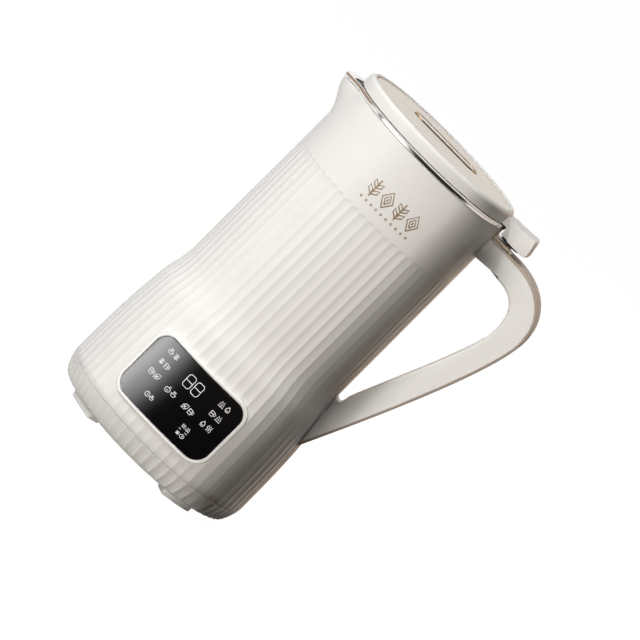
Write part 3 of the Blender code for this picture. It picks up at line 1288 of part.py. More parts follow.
def make_lid_cap(lid):
    """Lid cap with its raised rim and the thumb tab."""
    low, top = lid_low(), lid_top()
    floor = recess_floor()
    web = floor - LID_WEB
    inner = LID_RADIUS - LID_RIM_WIDTH
    skirt = LID_RADIUS - LID_SKIRT_WALL
    outline = [(0, web), (skirt, web), (skirt, low), (LID_RADIUS, low)]
    outline += arc((LID_RADIUS - LID_EDGE, top - LID_EDGE), LID_EDGE, 0, 90)
    outline += arc((inner + LID_INNER_EDGE, top - LID_INNER_EDGE), LID_INNER_EDGE, 90, 180, 1)
    outline += [(inner, floor), (0, floor)]
    cap = piece("lid_cap", turned(outline, 48), IVORY, lid)

    tab_low = low - TAB_DROP
    tall = top - TAB_TOP_DROP - tab_low
    half = TAB_WIDTH / 2

    def spot(along, up):
        return RIM_RADIUS + TAB_LENGTH * (along - TAB_START_SHARE), tab_low + tall * up

    line = [spot(*share) for share in TAB_TOP_SHARES + TAB_END_SHARES]
    block_body = prism(line, -half, half, "Y")
    block_body = rounded_edges(block_body, TAB_EDGE, lambda edge: edge_follows(edge, line, half))

    wall = RIM_RADIUS + TAB_ROOT_GAP
    high = spot(*TAB_TOP_SHARES[0])[1] - TAB_WEB_DROP
    end = spot(TAB_WEB_END_SHARE, 0)[0]
    bottom = tab_low + TAB_WEB_DROP
    web_line = [(skirt, high), (end, high), (end, bottom), (wall, bottom)]
    web_line += [(wall, low + CLEARANCE), (skirt, low + CLEARANCE)]
    web_half = half - TAB_WEB_STEP
    shape(cap, prism(web_line, -web_half, web_half, "Y"), lid, "UNION")
    shape(cap, block_body, lid, "UNION")


def stadium(length, depth, steps=8):
    """Outline of a bar with half-round ends."""
    return rounded_rectangle(length, depth, depth / 2, steps)


def make_lid_trim(lid):
    """The beige inset in the lid's recess and the gold inlay in it."""
    low = recess_floor() + CLEARANCE
    top = low + INSET_THICKNESS
    radius = LID_RADIUS - LID_RIM_WIDTH - CLEARANCE
    inset = piece("lid_inset", ring(0, radius, low, top, 48), BEIGE, lid)
    groove_low = top - INLAY_THICKNESS
    groove = stadium(INLAY_LENGTH + 2 * CLEARANCE, INLAY_DEPTH + 2 * CLEARANCE)
    shape(inset, prism(groove, groove_low, top + OVERRUN), lid)
    hole_length = INLAY_LENGTH - 2 * INLAY_LINE
    hole_depth = INLAY_DEPTH - 2 * INLAY_LINE
    island = stadium(hole_length - 2 * CLEARANCE, hole_depth - 2 * CLEARANCE)
    shape(inset, prism(island, low + CLEARANCE, top), lid, "UNION")
    bar = prism(stadium(INLAY_LENGTH, INLAY_DEPTH), groove_low + CLEARANCE, top + CLEARANCE)
    inlay = piece("lid_inlay", bar, GOLD, lid)
    shape(inlay, prism(stadium(hole_length, hole_depth), low, top + OVERRUN), lid)


def liner_top():
    """Upper edge of the liner, under the lid cap's web."""
    return recess_floor() - LID_WEB - CLEARANCE


def make_lid_liner(lid):
    """Plug-shaped liner that reaches into the cup, its seal and the overflow probe."""
    radius = CUP_RADIUS - LINER_GAP
    top = liner_top()
    low = top - LINER_DEPTH
    groove_top = top - SEAL_DROP + SEAL_HEIGHT + 2 * CLEARANCE
    groove_low = top - SEAL_DROP
    inner = radius - LINER_WALL
    groove = radius - SEAL_GROOVE
    outline = [(0, low), (groove, low), (radius, low + SEAL_GROOVE), (radius, groove_low)]
    outline += [(groove, groove_low), (groove, groove_top), (radius, groove_top)]
    outline += [(radius, top), (inner, top), (inner, low + LINER_WALL), (0, low + LINER_WALL)]
    liner = piece("lid_liner", turned(outline, 36), WHITE_SILICONE, lid)
    place = (PROBE_OUT, 0, 0)
    hole = prism(disc(PROBE_RADIUS + CLEARANCE), low - OVERRUN, low + LINER_WALL + OVERRUN)
    shape(liner, hole, lid, "DIFFERENCE", place)
    seal_low = groove_low + CLEARANCE
    seal_inner = groove + CLEARANCE
    seal_outer = CUP_RADIUS * cos(pi / CUP_COLUMNS) - CLEARANCE
    seal = ring(seal_inner, seal_outer, seal_low, seal_low + SEAL_HEIGHT, 36)
    piece("lid_seal", seal, BLACK_RUBBER, lid)

    flange_top = low - CLEARANCE
    flange_low = flange_top - LINER_WALL
    tip = flange_low - PROBE_LENGTH + PROBE_RADIUS
    blunt = PROBE_RADIUS * PROBE_TIP_SHARE
    head = low + 2 * LINER_WALL
    outline = [(0, tip - PROBE_RADIUS), (blunt, tip - blunt), (PROBE_RADIUS, tip)]
    outline += [(PROBE_RADIUS, flange_low), (PROBE_FLANGE_RADIUS, flange_low)]
    outline += [(PROBE_FLANGE_RADIUS, flange_top), (PROBE_RADIUS, flange_top)]
    outline += [(PROBE_RADIUS, head), (0, head)]
    piece("overflow_probe", turned(outline, SMALL_STEPS), STEEL, lid, place)


def make_coupler_plug(lid):
    """The plug under the tab and its two contact pins."""
    high = lid_low() - TAB_DROP - CLEARANCE
    low = high - PLUG_THICKNESS
    outline = [(0, low)]
    outline += [(PLUG_RADIUS * wide, low + PLUG_THICKNESS * up) for wide, up in PLUG_EDGE_SHARES]
    outline += [(PLUG_RADIUS, high), (0, high)]
    piece("coupler_plug", turned(outline), BLACK_RUBBER, lid, (COUPLER_OUT, 0, 0))
    for name, side in (("front", -1), ("rear", 1)):
        pin_high = low - CLEARANCE
        pin = ring(0, PIN_RADIUS, pin_high - PIN_LENGTH, pin_high, SMALL_STEPS)
        piece(f"coupler_pin_{name}", pin, BRASS, lid, (COUPLER_OUT, side * PIN_OFFSET, 0))


def main():
    """Build the whole machine, centred on its box and standing on its feet."""
    clear_scene()
    spout_reach = RIM_RADIUS + SPOUT_OUT
    front_reach = panel_front() + bezel_tall() / 2 * sin(panel_lean())
    place = ((spout_reach - HANDLE_REACH) / 2, (front_reach - BASE_RADIUS) / 2, 0)
    stand = empty("stand", place)
    panel = empty("panel_axis", (0, -panel_front(), PANEL_HEIGHT), (-panel_lean(), 0, 0), stand)
    lid = empty("lid_axis", parent=stand)
    spin = empty("spin_axis", parent=stand)
    press = empty("press_axis", (COUPLER_OUT, 0, 0), parent=stand)

    make_outer_shell(stand, panel)
    make_base_cover(stand)
    make_base_screws(stand)
    make_feet(stand)
    make_panel(panel)
    make_inner_cup(stand)
    make_cup_support(stand)
    make_heater(stand)
    make_bearing_seat(stand)
    make_blades(spin)
    make_motor(stand, spin)
    make_power_board(stand)
    make_inlet(stand)
    make_handle(stand)
    make_coupler(stand, press)
    make_lid_cap(lid)
    make_lid_trim(lid)
    make_lid_liner(lid)
    make_coupler_plug(lid)


main()
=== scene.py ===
"""Fine form and finish of the kettle-type soy milk maker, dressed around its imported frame.

The jug stands upright: beak to -X, handle to +X, touch panel to -Y and power inlet to +Y.
Lengths are in metres. Pieces are modelled about the jug's own axis and moved into the frame at the end.
"""

import logging
from collections.abc import Callable, Iterator, Sequence
from contextlib import contextmanager
from dataclasses import dataclass
from enum import Enum
from math import atan2, cos, hypot, pi, radians, sin, sqrt, tau

import bmesh
import bpy
from mathutils import Matrix, Vector
from mathutils.geometry import interpolate_bezier


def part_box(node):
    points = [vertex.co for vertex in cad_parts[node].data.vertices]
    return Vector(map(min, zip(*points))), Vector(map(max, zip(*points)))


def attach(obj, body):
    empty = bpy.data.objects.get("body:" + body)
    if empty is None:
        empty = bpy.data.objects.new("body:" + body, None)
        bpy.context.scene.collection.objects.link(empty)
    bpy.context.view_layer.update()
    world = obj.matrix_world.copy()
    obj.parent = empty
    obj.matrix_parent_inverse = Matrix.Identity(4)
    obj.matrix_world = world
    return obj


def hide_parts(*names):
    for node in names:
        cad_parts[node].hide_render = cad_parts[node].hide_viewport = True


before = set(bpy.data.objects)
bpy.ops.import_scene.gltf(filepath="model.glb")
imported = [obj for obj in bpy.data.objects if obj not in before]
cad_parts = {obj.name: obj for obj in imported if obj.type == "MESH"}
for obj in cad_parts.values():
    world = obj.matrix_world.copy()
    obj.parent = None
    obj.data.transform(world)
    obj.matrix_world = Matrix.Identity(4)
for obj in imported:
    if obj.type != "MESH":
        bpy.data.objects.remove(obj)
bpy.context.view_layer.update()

LOG = logging.getLogger("soy_milk_maker")

Pair = tuple[float, float]
Spot = tuple[float, float, float]
Run = list[Pair]
Socket = bpy.types.NodeSocket
Pick = Callable[[Vector], bool]
PickEdge = Callable[[Vector, Vector], bool]

CLEARANCE = 0.0003
OVERRUN = 0.0020
WELD = 0.000002
ROUND_STEPS = 96
FINE_STEPS = 240
DISC_STEPS = 24
BORE_STEPS = 16
FULL_TURN_DEG = 360
SHARP_DEG = 50
MOTIF_GRID = 100

BASE_LOW, BASE_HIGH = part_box("base_cover")
SHELL_LOW, SHELL_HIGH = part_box("outer_shell")
AXIS = Vector(((BASE_LOW.x + BASE_HIGH.x) / 2, (BASE_LOW.y + BASE_HIGH.y) / 2, 0))


class Body(Enum):
    """The frame's bodies that carry remade pieces."""

    MACHINE = "machine"
    LID = "lid"


class Slot(Enum):
    """The record's material slots."""

    SHELL = "shell_plastic"
    HANDLE = "handle_plastic"
    LID = "lid_plastic"
    INSET = "beige_inset"
    GOLD = "gold_trim"
    CUP = "cup_steel"
    BLADE = "blade_steel"
    DARK_STEEL = "dark_steel"
    CAST = "cast_aluminium"
    BRASS = "brass"
    GLASS = "panel_glass"
    BOARD = "circuit_board"
    GREY = "grey_plastic"
    COUPLER = "coupler_plastic"
    SILICONE = "white_silicone"
    RUBBER = "black_rubber"
    FOOT = "foot_rubber"


class Form(Enum):
    """How a run of points becomes a mesh."""

    LINE = "open line"
    LOOP = "closed line"
    SHEET = "filled outline"


class Blend(Enum):
    """What a tool body does to the piece that it meets."""

    CUT = "DIFFERENCE"
    ADD = "UNION"
    KEEP = "INTERSECT"


def on_circle(radius: float, degrees: float) -> Pair:
    """A point on a circle about the jug's axis."""
    return radius * cos(radians(degrees)), radius * sin(radians(degrees))


def arc_run(centre: Pair, radius: float, start: float, end: float, steps: int) -> Run:
    """Points on an arc about a centre, between two angles in degrees, both ends included."""
    spots = [on_circle(radius, start + (end - start) * step / steps) for step in range(steps + 1)]
    return [(centre[0] + across, centre[1] + up) for across, up in spots]


def bezier_run(knots: Sequence[Pair], steps: int) -> Run:
    """Points of one cubic curve through its four knots, both ends included."""
    points = interpolate_bezier(*[Vector((*knot, 0)) for knot in knots], steps + 1)
    return [(point.x, point.y) for point in points]


def smooth_run(points: Run, steps: int) -> Run:
    """A smooth line through points that are some way apart, each stretch cut into steps.

    Args:
        points: The points that it passes.
        steps: Chords of each stretch.

    Returns:
        The line's points, both ends included.
    """
    run = [points[0]]
    last = len(points) - 1
    for at in range(last):
        before, start = Vector(points[max(at - 1, 0)]), Vector(points[at])
        end, after = Vector(points[at + 1]), Vector(points[min(at + 2, last)])
        run += bezier_run((start, start + (end - before) / 6, end - (after - start) / 6, end), steps)[1:]
    return run


def round_rectangle(width: float, tall: float, corner: float, steps: int = 10) -> Run:
    """Outline of a rectangle with round corners of some chords each, centred on the origin.

    Args:
        width: Its size across.
        tall: Its size the other way.
        corner: The corners' radius.
        steps: Chords of each corner.

    Returns:
        The outline, anticlockwise.
    """
    run: Run = []
    for turn, (side, up) in enumerate(((1, 1), (-1, 1), (-1, -1), (1, -1))):
        centre = (side * (width / 2 - corner), up * (tall / 2 - corner))
        run += arc_run(centre, corner, turn * 90, turn * 90 + 90, steps)
    return run


def offset_run(run: Run, distance: float) -> Run:
    """Move an open line sideways, to the right of its way.

    Args:
        run: The line.
        distance: How far it moves.

    Returns:
        The moved line.
    """
    moved = []
    for at, point in enumerate(run):
        way = (Vector(run[min(at + 1, len(run) - 1)]) - Vector(run[max(at - 1, 0)])).normalized()
        moved.append((point[0] + way.y * distance, point[1] - way.x * distance))
    return moved


def upright(run: Run, y: float = 0.0) -> list[Spot]:
    """Stand a flat run up in a plane across Y."""
    return [(across, y, up) for across, up in run]


def level(run: Run, height: float) -> list[Spot]:
    """Lay a flat run down at a height."""
    return [(across, along, height) for across, along in run]


def added(add: Callable, **settings: object) -> bpy.types.Object:
    """The object that an operator adds, as the only one selected.

    Args:
        add: The operator.
        settings: Its settings.

    Returns:
        The new object.
    """
    bpy.ops.object.select_all(action="DESELECT")
    add(**settings)
    return bpy.context.object


class Wire:
    """A number inside a material: Python arithmetic on it adds Math nodes."""

    def __init__(self, graph: "Graph", socket: Socket) -> None:
        """Wrap one output socket."""
        self.graph, self.socket = graph, socket

    def math(self, operation: str, first: "Wire | float", second: "Wire | float") -> "Wire":
        """Add one Math node on two values."""
        return Wire(self.graph, self.graph.node("Math", {0: first, 1: second}, operation=operation)[0])

    def __add__(self, other: "Wire | float") -> "Wire":
        """Sum of this and another value."""
        return self.math("ADD", self, other)

    def __sub__(self, other: "Wire | float") -> "Wire":
        """This value less another."""
        return self.math("SUBTRACT", self, other)

    def __rsub__(self, other: "Wire | float") -> "Wire":
        """Another value less this one."""
        return self.math("SUBTRACT", other, self)

    def __mul__(self, other: "Wire | float") -> "Wire":
        """Product of this and another value."""
        return self.math("MULTIPLY", self, other)

    __radd__, __rmul__ = __add__, __mul__


class Graph:
    """The node tree of a material or world, with the few steps that every finish is made of."""

    def __init__(self, owner: bpy.types.Material | bpy.types.World) -> None:
        """Open the owner's node tree."""
        owner.use_nodes = True
        self.tree = owner.node_tree

    def node(self, kind: str, inputs: dict, stops: Sequence = (), **settings: object) -> Sequence[Socket]:
        """Add any shader node.

        Args:
            kind: The node's type.
            inputs: Values or links of its sockets, by name or number.
            stops: A ramp's places and colours, set first.
            settings: The node's own settings, set first.

        Returns:
            The node's outputs.
        """
        made = self.tree.nodes.new(f"ShaderNode{kind}")
        for setting, value in settings.items():
            setattr(made, setting, value)
        if stops:
            for _ in stops[2:]:
                made.color_ramp.elements.new(0.5)
            for element, (place, colour) in zip(made.color_ramp.elements, stops):
                element.position, element.color = place, (*colour, 1)
        self.feed(made, inputs)
        return made.outputs

    def feed(self, node: bpy.types.Node, inputs: dict) -> None:
        """Set or link a node's sockets.

        Args:
            node: The node that takes them.
            inputs: Values or links of its sockets, by name or number.
        """
        for key, value in inputs.items():
            source = value.socket if isinstance(value, Wire) else value
            if isinstance(source, Socket):
                self.tree.links.new(source, node.inputs[key])
            else:
                node.inputs[key].default_value = source

    def show(self, shader: Socket) -> None:
        """Lead a shader to the tree's output."""
        self.feed(next(node for node in self.tree.nodes if node.type.startswith("OUTPUT_")), {0: shader})

    def ramp(self, share: Socket | Wire, stops: Sequence[tuple[float, Spot]]) -> Socket:
        """A colour ramp over a share, with its places and colours."""
        return self.node("ValToRGB", {0: share}, stops)[0]

    def place(self, stretch: Spot = (1, 1, 1), centre: Spot = (0, 0, 0)) -> Socket:
        """Object coordinates about a centre, stretched by a Mapping node.

        Args:
            stretch: Scale along each axis.
            centre: The point that becomes the origin.

        Returns:
            The stretched coordinates.
        """
        spot = self.node("TexCoord", {})["Object"]
        move = tuple(-at * size for at, size in zip(centre, stretch))
        return self.node("Mapping", {"Vector": spot, "Location": move, "Scale": stretch})[0]

    def noise(self, place: Socket, scale: float, detail: float = 2.0) -> Wire:
        """Soft noise at a scale, in features per metre."""
        return Wire(self, self.node("TexNoise", {"Vector": place, "Scale": scale, "Detail": detail})[0])

    def mix(self, inputs: dict, **settings: object) -> Socket:
        """A mixed colour, from the factor at 0 and the colours at 6 and 7."""
        return self.node("Mix", inputs, data_type="RGBA", **settings)[2]

    def tint(self, share: Wire, first: Sequence[float], second: Sequence[float]) -> Socket:
        """A colour between two, by a share."""
        return self.mix({0: share, 6: (*first, 1), 7: (*second, 1)}, clamp_factor=True)

    def relief(self, height: Wire, depth: float) -> Socket:
        """A bump of a real depth."""
        return self.node("Bump", {"Height": height, "Distance": depth})[0]


def darker(tone: Spot, share: float) -> list[float]:
    """A tone less a share of itself."""
    return [part * (1 - share) for part in tone]


def gloss(roughness: float, fine: Wire, soft: Wire, spread: Pair = (0.10, 0.06)) -> Wire:
    """Uneven roughness about its mean, by a fine and a soft noise."""
    return fine * spread[0] + soft * spread[1] + (roughness - sum(spread) / 2)


class Finish:
    """The look of one kind of surface."""

    def sockets(self, graph: Graph) -> dict:
        """Values and links of the shader's sockets."""
        raise NotImplementedError

    def material(self, name: str) -> bpy.types.Material:
        """Build the finish's material.

        Args:
            name: The material's name.

        Returns:
            The material.
        """
        made = bpy.data.materials.new(name)
        graph = Graph(made)
        graph.feed(graph.tree.nodes["Principled BSDF"], self.sockets(graph))
        return made


@dataclass(frozen=True)
class Moulded(Finish):
    """Moulded plastic or rubber: a fine eroded skin, a faint mottle and uneven gloss."""

    tone: Spot
    roughness: float = 0.46
    grain_depth: float = 0.000012
    grain_scale: float = 1100
    mottle: float = 0.06
    mottle_scale: float = 55
    cloud_share: float = 0.6
    cloud_relief: float = 0.5
    specular: float = 0.28
    sheen: float = 0.0
    through: float = 0.0
    through_depth: float = 0.002

    def sockets(self, graph: Graph) -> dict:
        """Values and links of the shader's sockets.

        Args:
            graph: The material's node tree.

        Returns:
            Inputs of the shader, by name.
        """
        place = graph.place()
        cloud, skin = graph.noise(place, self.mottle_scale, 3.0), graph.noise(place, self.grain_scale, 3.0)
        pale = [part + (1 - part) * self.mottle / 2 for part in self.tone]
        share = cloud * self.cloud_share + skin * (1 - self.cloud_share)
        return {
            "Base Color": graph.tint(share, darker(self.tone, self.mottle), pale),
            "Roughness": gloss(self.roughness, skin, cloud),
            "Normal": graph.relief(skin + cloud * self.cloud_relief, self.grain_depth),
            "Specular IOR Level": self.specular,
            "Sheen Weight": self.sheen,
            "Subsurface Weight": self.through,
            "Subsurface Scale": self.through_depth,
        }


@dataclass(frozen=True)
class TurnedMetal(Finish):
    """Metal polished or brushed round the jug's axis: fine rings of tone, gloss and depth."""

    tone: Spot
    roughness: float = 0.20
    ring_depth: float = 0.000002
    rings: float = 5200
    stain: float = 0.10
    stain_scale: float = 60
    centre: Spot = (0, 0, 0)

    def sockets(self, graph: Graph) -> dict:
        """Values and links of the shader's sockets.

        Args:
            graph: The material's node tree.

        Returns:
            Inputs of the shader, by name.
        """
        parts = graph.node("SeparateXYZ", {0: graph.place(centre=self.centre)})
        flat = graph.node("CombineXYZ", {0: parts[0], 1: parts[1]})[0]
        radius = Wire(graph, graph.node("VectorMath", {0: flat}, operation="LENGTH")["Value"])
        lines = graph.node("CombineXYZ", {0: radius * self.rings, 1: Wire(graph, parts[2]) * self.rings})[0]
        turned = graph.noise(lines, 1.0)
        cloud = graph.noise(graph.place(), self.stain_scale, 3.0)
        return {
            "Base Color": graph.tint(turned * 0.5 + cloud * 0.5, darker(self.tone, self.stain), self.tone),
            "Metallic": 1.0,
            "Roughness": gloss(self.roughness, turned, cloud),
            "Normal": graph.relief(turned, self.ring_depth),
        }


@dataclass(frozen=True)
class RoughMetal(Finish):
    """Cast, ground or plated metal: a grain with one way to it, small pits and a dull stain."""

    tone: Spot
    roughness: float = 0.35
    stretch: Spot = (1, 1, 1)
    grain_scale: float = 1500
    grain_depth: float = 0.00001
    stain: float = 0.25
    stain_scale: float = 120

    def sockets(self, graph: Graph) -> dict:
        """Values and links of the shader's sockets.

        Args:
            graph: The material's node tree.

        Returns:
            Inputs of the shader, by name.
        """
        grain = graph.noise(graph.place(self.stretch), self.grain_scale, 3.0)
        cloud = graph.noise(graph.place(), self.stain_scale, 4.0)
        return {
            "Base Color": graph.tint(cloud, darker(self.tone, self.stain), self.tone),
            "Metallic": 1.0,
            "Roughness": gloss(self.roughness, grain, cloud, (0.16, 0.10)),
            "Normal": graph.relief(grain, self.grain_depth),
        }


@dataclass(frozen=True)
class Speckled(Finish):
    """Matt beige moulding with fine pale and brown specks through it."""

    tone: Spot
    speck: Spot
    fleck: Spot
    roughness: float = 0.55
    speck_scale: float = 1500
    dash_share: float = 0.6
    dot_share: float = 0.6
    dot_gloss: float = 0.15
    dot_gloss_mean: float = 0.07
    stops: tuple = (0.0, 0.36, 0.50, 0.62, 0.74)
    cloud_scale: float = 90
    cloud_tone: Spot = (0.86, 0.84, 0.80)
    cloud_share: float = 0.25
    grain_depth: float = 0.00003

    def sockets(self, graph: Graph) -> dict:
        """Values and links of the shader's sockets.

        Args:
            graph: The material's node tree.

        Returns:
            Inputs of the shader, by name.
        """
        place = graph.place()
        dots = graph.noise(place, self.speck_scale)
        dashes = graph.noise(place, self.speck_scale * self.dash_share)
        cloud = graph.noise(place, self.cloud_scale, 3.0)
        tones = (self.speck, self.speck, self.tone, self.tone, self.fleck)
        shares = dots * self.dot_share + dashes * (1 - self.dot_share)
        specks = graph.ramp(shares, list(zip(self.stops, tones)))
        clouds = graph.tint(cloud, self.cloud_tone, (1, 1, 1))
        return {
            "Base Color": graph.mix({0: self.cloud_share, 6: specks, 7: clouds}, blend_type="MULTIPLY"),
            "Roughness": dots * self.dot_gloss + (self.roughness - self.dot_gloss_mean),
            "Normal": graph.relief(dots + cloud, self.grain_depth),
        }


@dataclass(frozen=True)
class BlackGlass(Finish):
    """Black-backed glass of the touch panel, with faint wipe marks in its gloss."""

    tone: Spot = (0.0015, 0.0015, 0.0020)
    dust: float = 0.8
    roughness: float = 0.17
    dust_scale: float = 2600
    wipe_scale: float = 140
    wipe_stretch: Spot = (1, 1, 0.25)
    wipe_spread: float = 0.05
    wipe_depth: float = 0.000001
    refraction: float = 2.0

    def sockets(self, graph: Graph) -> dict:
        """Values and links of the shader's sockets.

        Args:
            graph: The material's node tree.

        Returns:
            Inputs of the shader, by name.
        """
        wipes = graph.noise(graph.place(self.wipe_stretch), self.wipe_scale, 4.0)
        dust = graph.noise(graph.place(), self.dust_scale)
        return {
            "Base Color": graph.tint(dust, self.tone, darker(self.tone, -self.dust)),
            "Roughness": wipes * self.wipe_spread + (self.roughness - self.wipe_spread / 2),
            "Normal": graph.relief(wipes, self.wipe_depth),
            "IOR": self.refraction,
        }


@dataclass(frozen=True)
class Printed(Finish):
    """White legend ink with a painted glow: an emission in the ink makes it shine as if lit from behind the
    glass.
    """

    tone: Spot = (0.82, 0.83, 0.84)
    unevenness: float = 0.12
    ink_scale: float = 3000
    ink_spread: float = 0.2
    # painted glow: the ink gives off light whatever the lamps do
    glow: float = 0.30
    roughness: float = 0.35

    def sockets(self, graph: Graph) -> dict:
        """Values and links of the shader's sockets.

        Args:
            graph: The material's node tree.

        Returns:
            Inputs of the shader, by name.
        """
        ink = graph.noise(graph.place(), self.ink_scale)
        colour = graph.tint(ink, darker(self.tone, self.unevenness), self.tone)
        return {
            "Base Color": colour,
            "Emission Color": colour,
            "Emission Strength": self.glow,
            "Roughness": ink * self.ink_spread + self.roughness,
        }


@dataclass(frozen=True)
class CircuitBoard(Finish):
    """Green lacquered board with pale copper traces under the lacquer."""

    lacquer: Spot = (0.03, 0.16, 0.08)
    trace: Spot = (0.10, 0.34, 0.16)
    pitch: float = 420
    trace_edge: float = 0.38
    trace_depth: float = 0.00004
    trace_gloss: float = 0.12
    roughness: float = 0.42

    def sockets(self, graph: Graph) -> dict:
        """Values and links of the shader's sockets.

        Args:
            graph: The material's node tree.

        Returns:
            Inputs of the shader, by name.
        """
        inputs = {"Vector": graph.place(), "Scale": self.pitch}
        cells = Wire(graph, graph.node("TexVoronoi", inputs, feature="F1", distance="CHEBYCHEV")["Distance"])
        lines = cells.math("GREATER_THAN", cells, self.trace_edge)
        return {
            "Base Color": graph.tint(lines, self.lacquer, self.trace),
            "Roughness": self.roughness - lines * self.trace_gloss,
            "Normal": graph.relief(lines, self.trace_depth),
        }


IVORY_TONE = (0.80, 0.785, 0.755)
FINISHES: dict[Slot, Finish] = {
    Slot.SHELL: Moulded(IVORY_TONE),
    Slot.HANDLE: Moulded(IVORY_TONE, 0.50),
    Slot.LID: Moulded(IVORY_TONE, 0.56, specular=0.12),
    Slot.INSET: Speckled((0.89, 0.85, 0.785), (0.70, 0.64, 0.57), (0.93, 0.90, 0.86)),
    Slot.GOLD: TurnedMetal((0.50, 0.34, 0.18), roughness=0.28, rings=2200, stain=0.3),
    Slot.CUP: TurnedMetal((0.86, 0.835, 0.81), roughness=0.17, centre=tuple(AXIS)),
    Slot.BLADE: RoughMetal((0.70, 0.69, 0.67), 0.28, (1, 1, 0.2), 1800, 0.000006, 0.12),
    Slot.DARK_STEEL: RoughMetal((0.24, 0.24, 0.25), 0.42),
    Slot.CAST: RoughMetal((0.56, 0.56, 0.57), 0.46, grain_scale=900, grain_depth=0.00004),
    Slot.BRASS: RoughMetal((0.70, 0.50, 0.22), 0.30),
    Slot.GLASS: BlackGlass(),
    Slot.BOARD: CircuitBoard(),
    Slot.GREY: Moulded((0.30, 0.30, 0.31), 0.52, grain_depth=0.00002),
    Slot.COUPLER: Moulded((0.72, 0.58, 0.46), 0.30),
    Slot.SILICONE: Moulded((0.80, 0.80, 0.78), 0.50, through=0.2),
    Slot.RUBBER: Moulded((0.02, 0.02, 0.02), 0.58, grain_depth=0.00002, sheen=0.1),
    Slot.FOOT: Moulded((0.80, 0.79, 0.77), 0.55),
}
# Paler ivory of the panel's frame: painted light, so that the proud frame reads brighter than the wall beside
# it.
BEZEL_PAINTED_LIGHT = Moulded((0.90, 0.885, 0.86), 0.34)
# Dark tone of the handle's cover: painted shade for its outer face, which turns away from the lamps.
COVER_PAINTED_SHADE = Moulded((0.42, 0.35, 0.285), 0.50)
CREAM = Moulded((0.86, 0.82, 0.75), 0.40)
GOLD_INK = Moulded((0.27, 0.17, 0.065), 0.32, 0.000006, mottle=0.25, mottle_scale=400, specular=0.8)


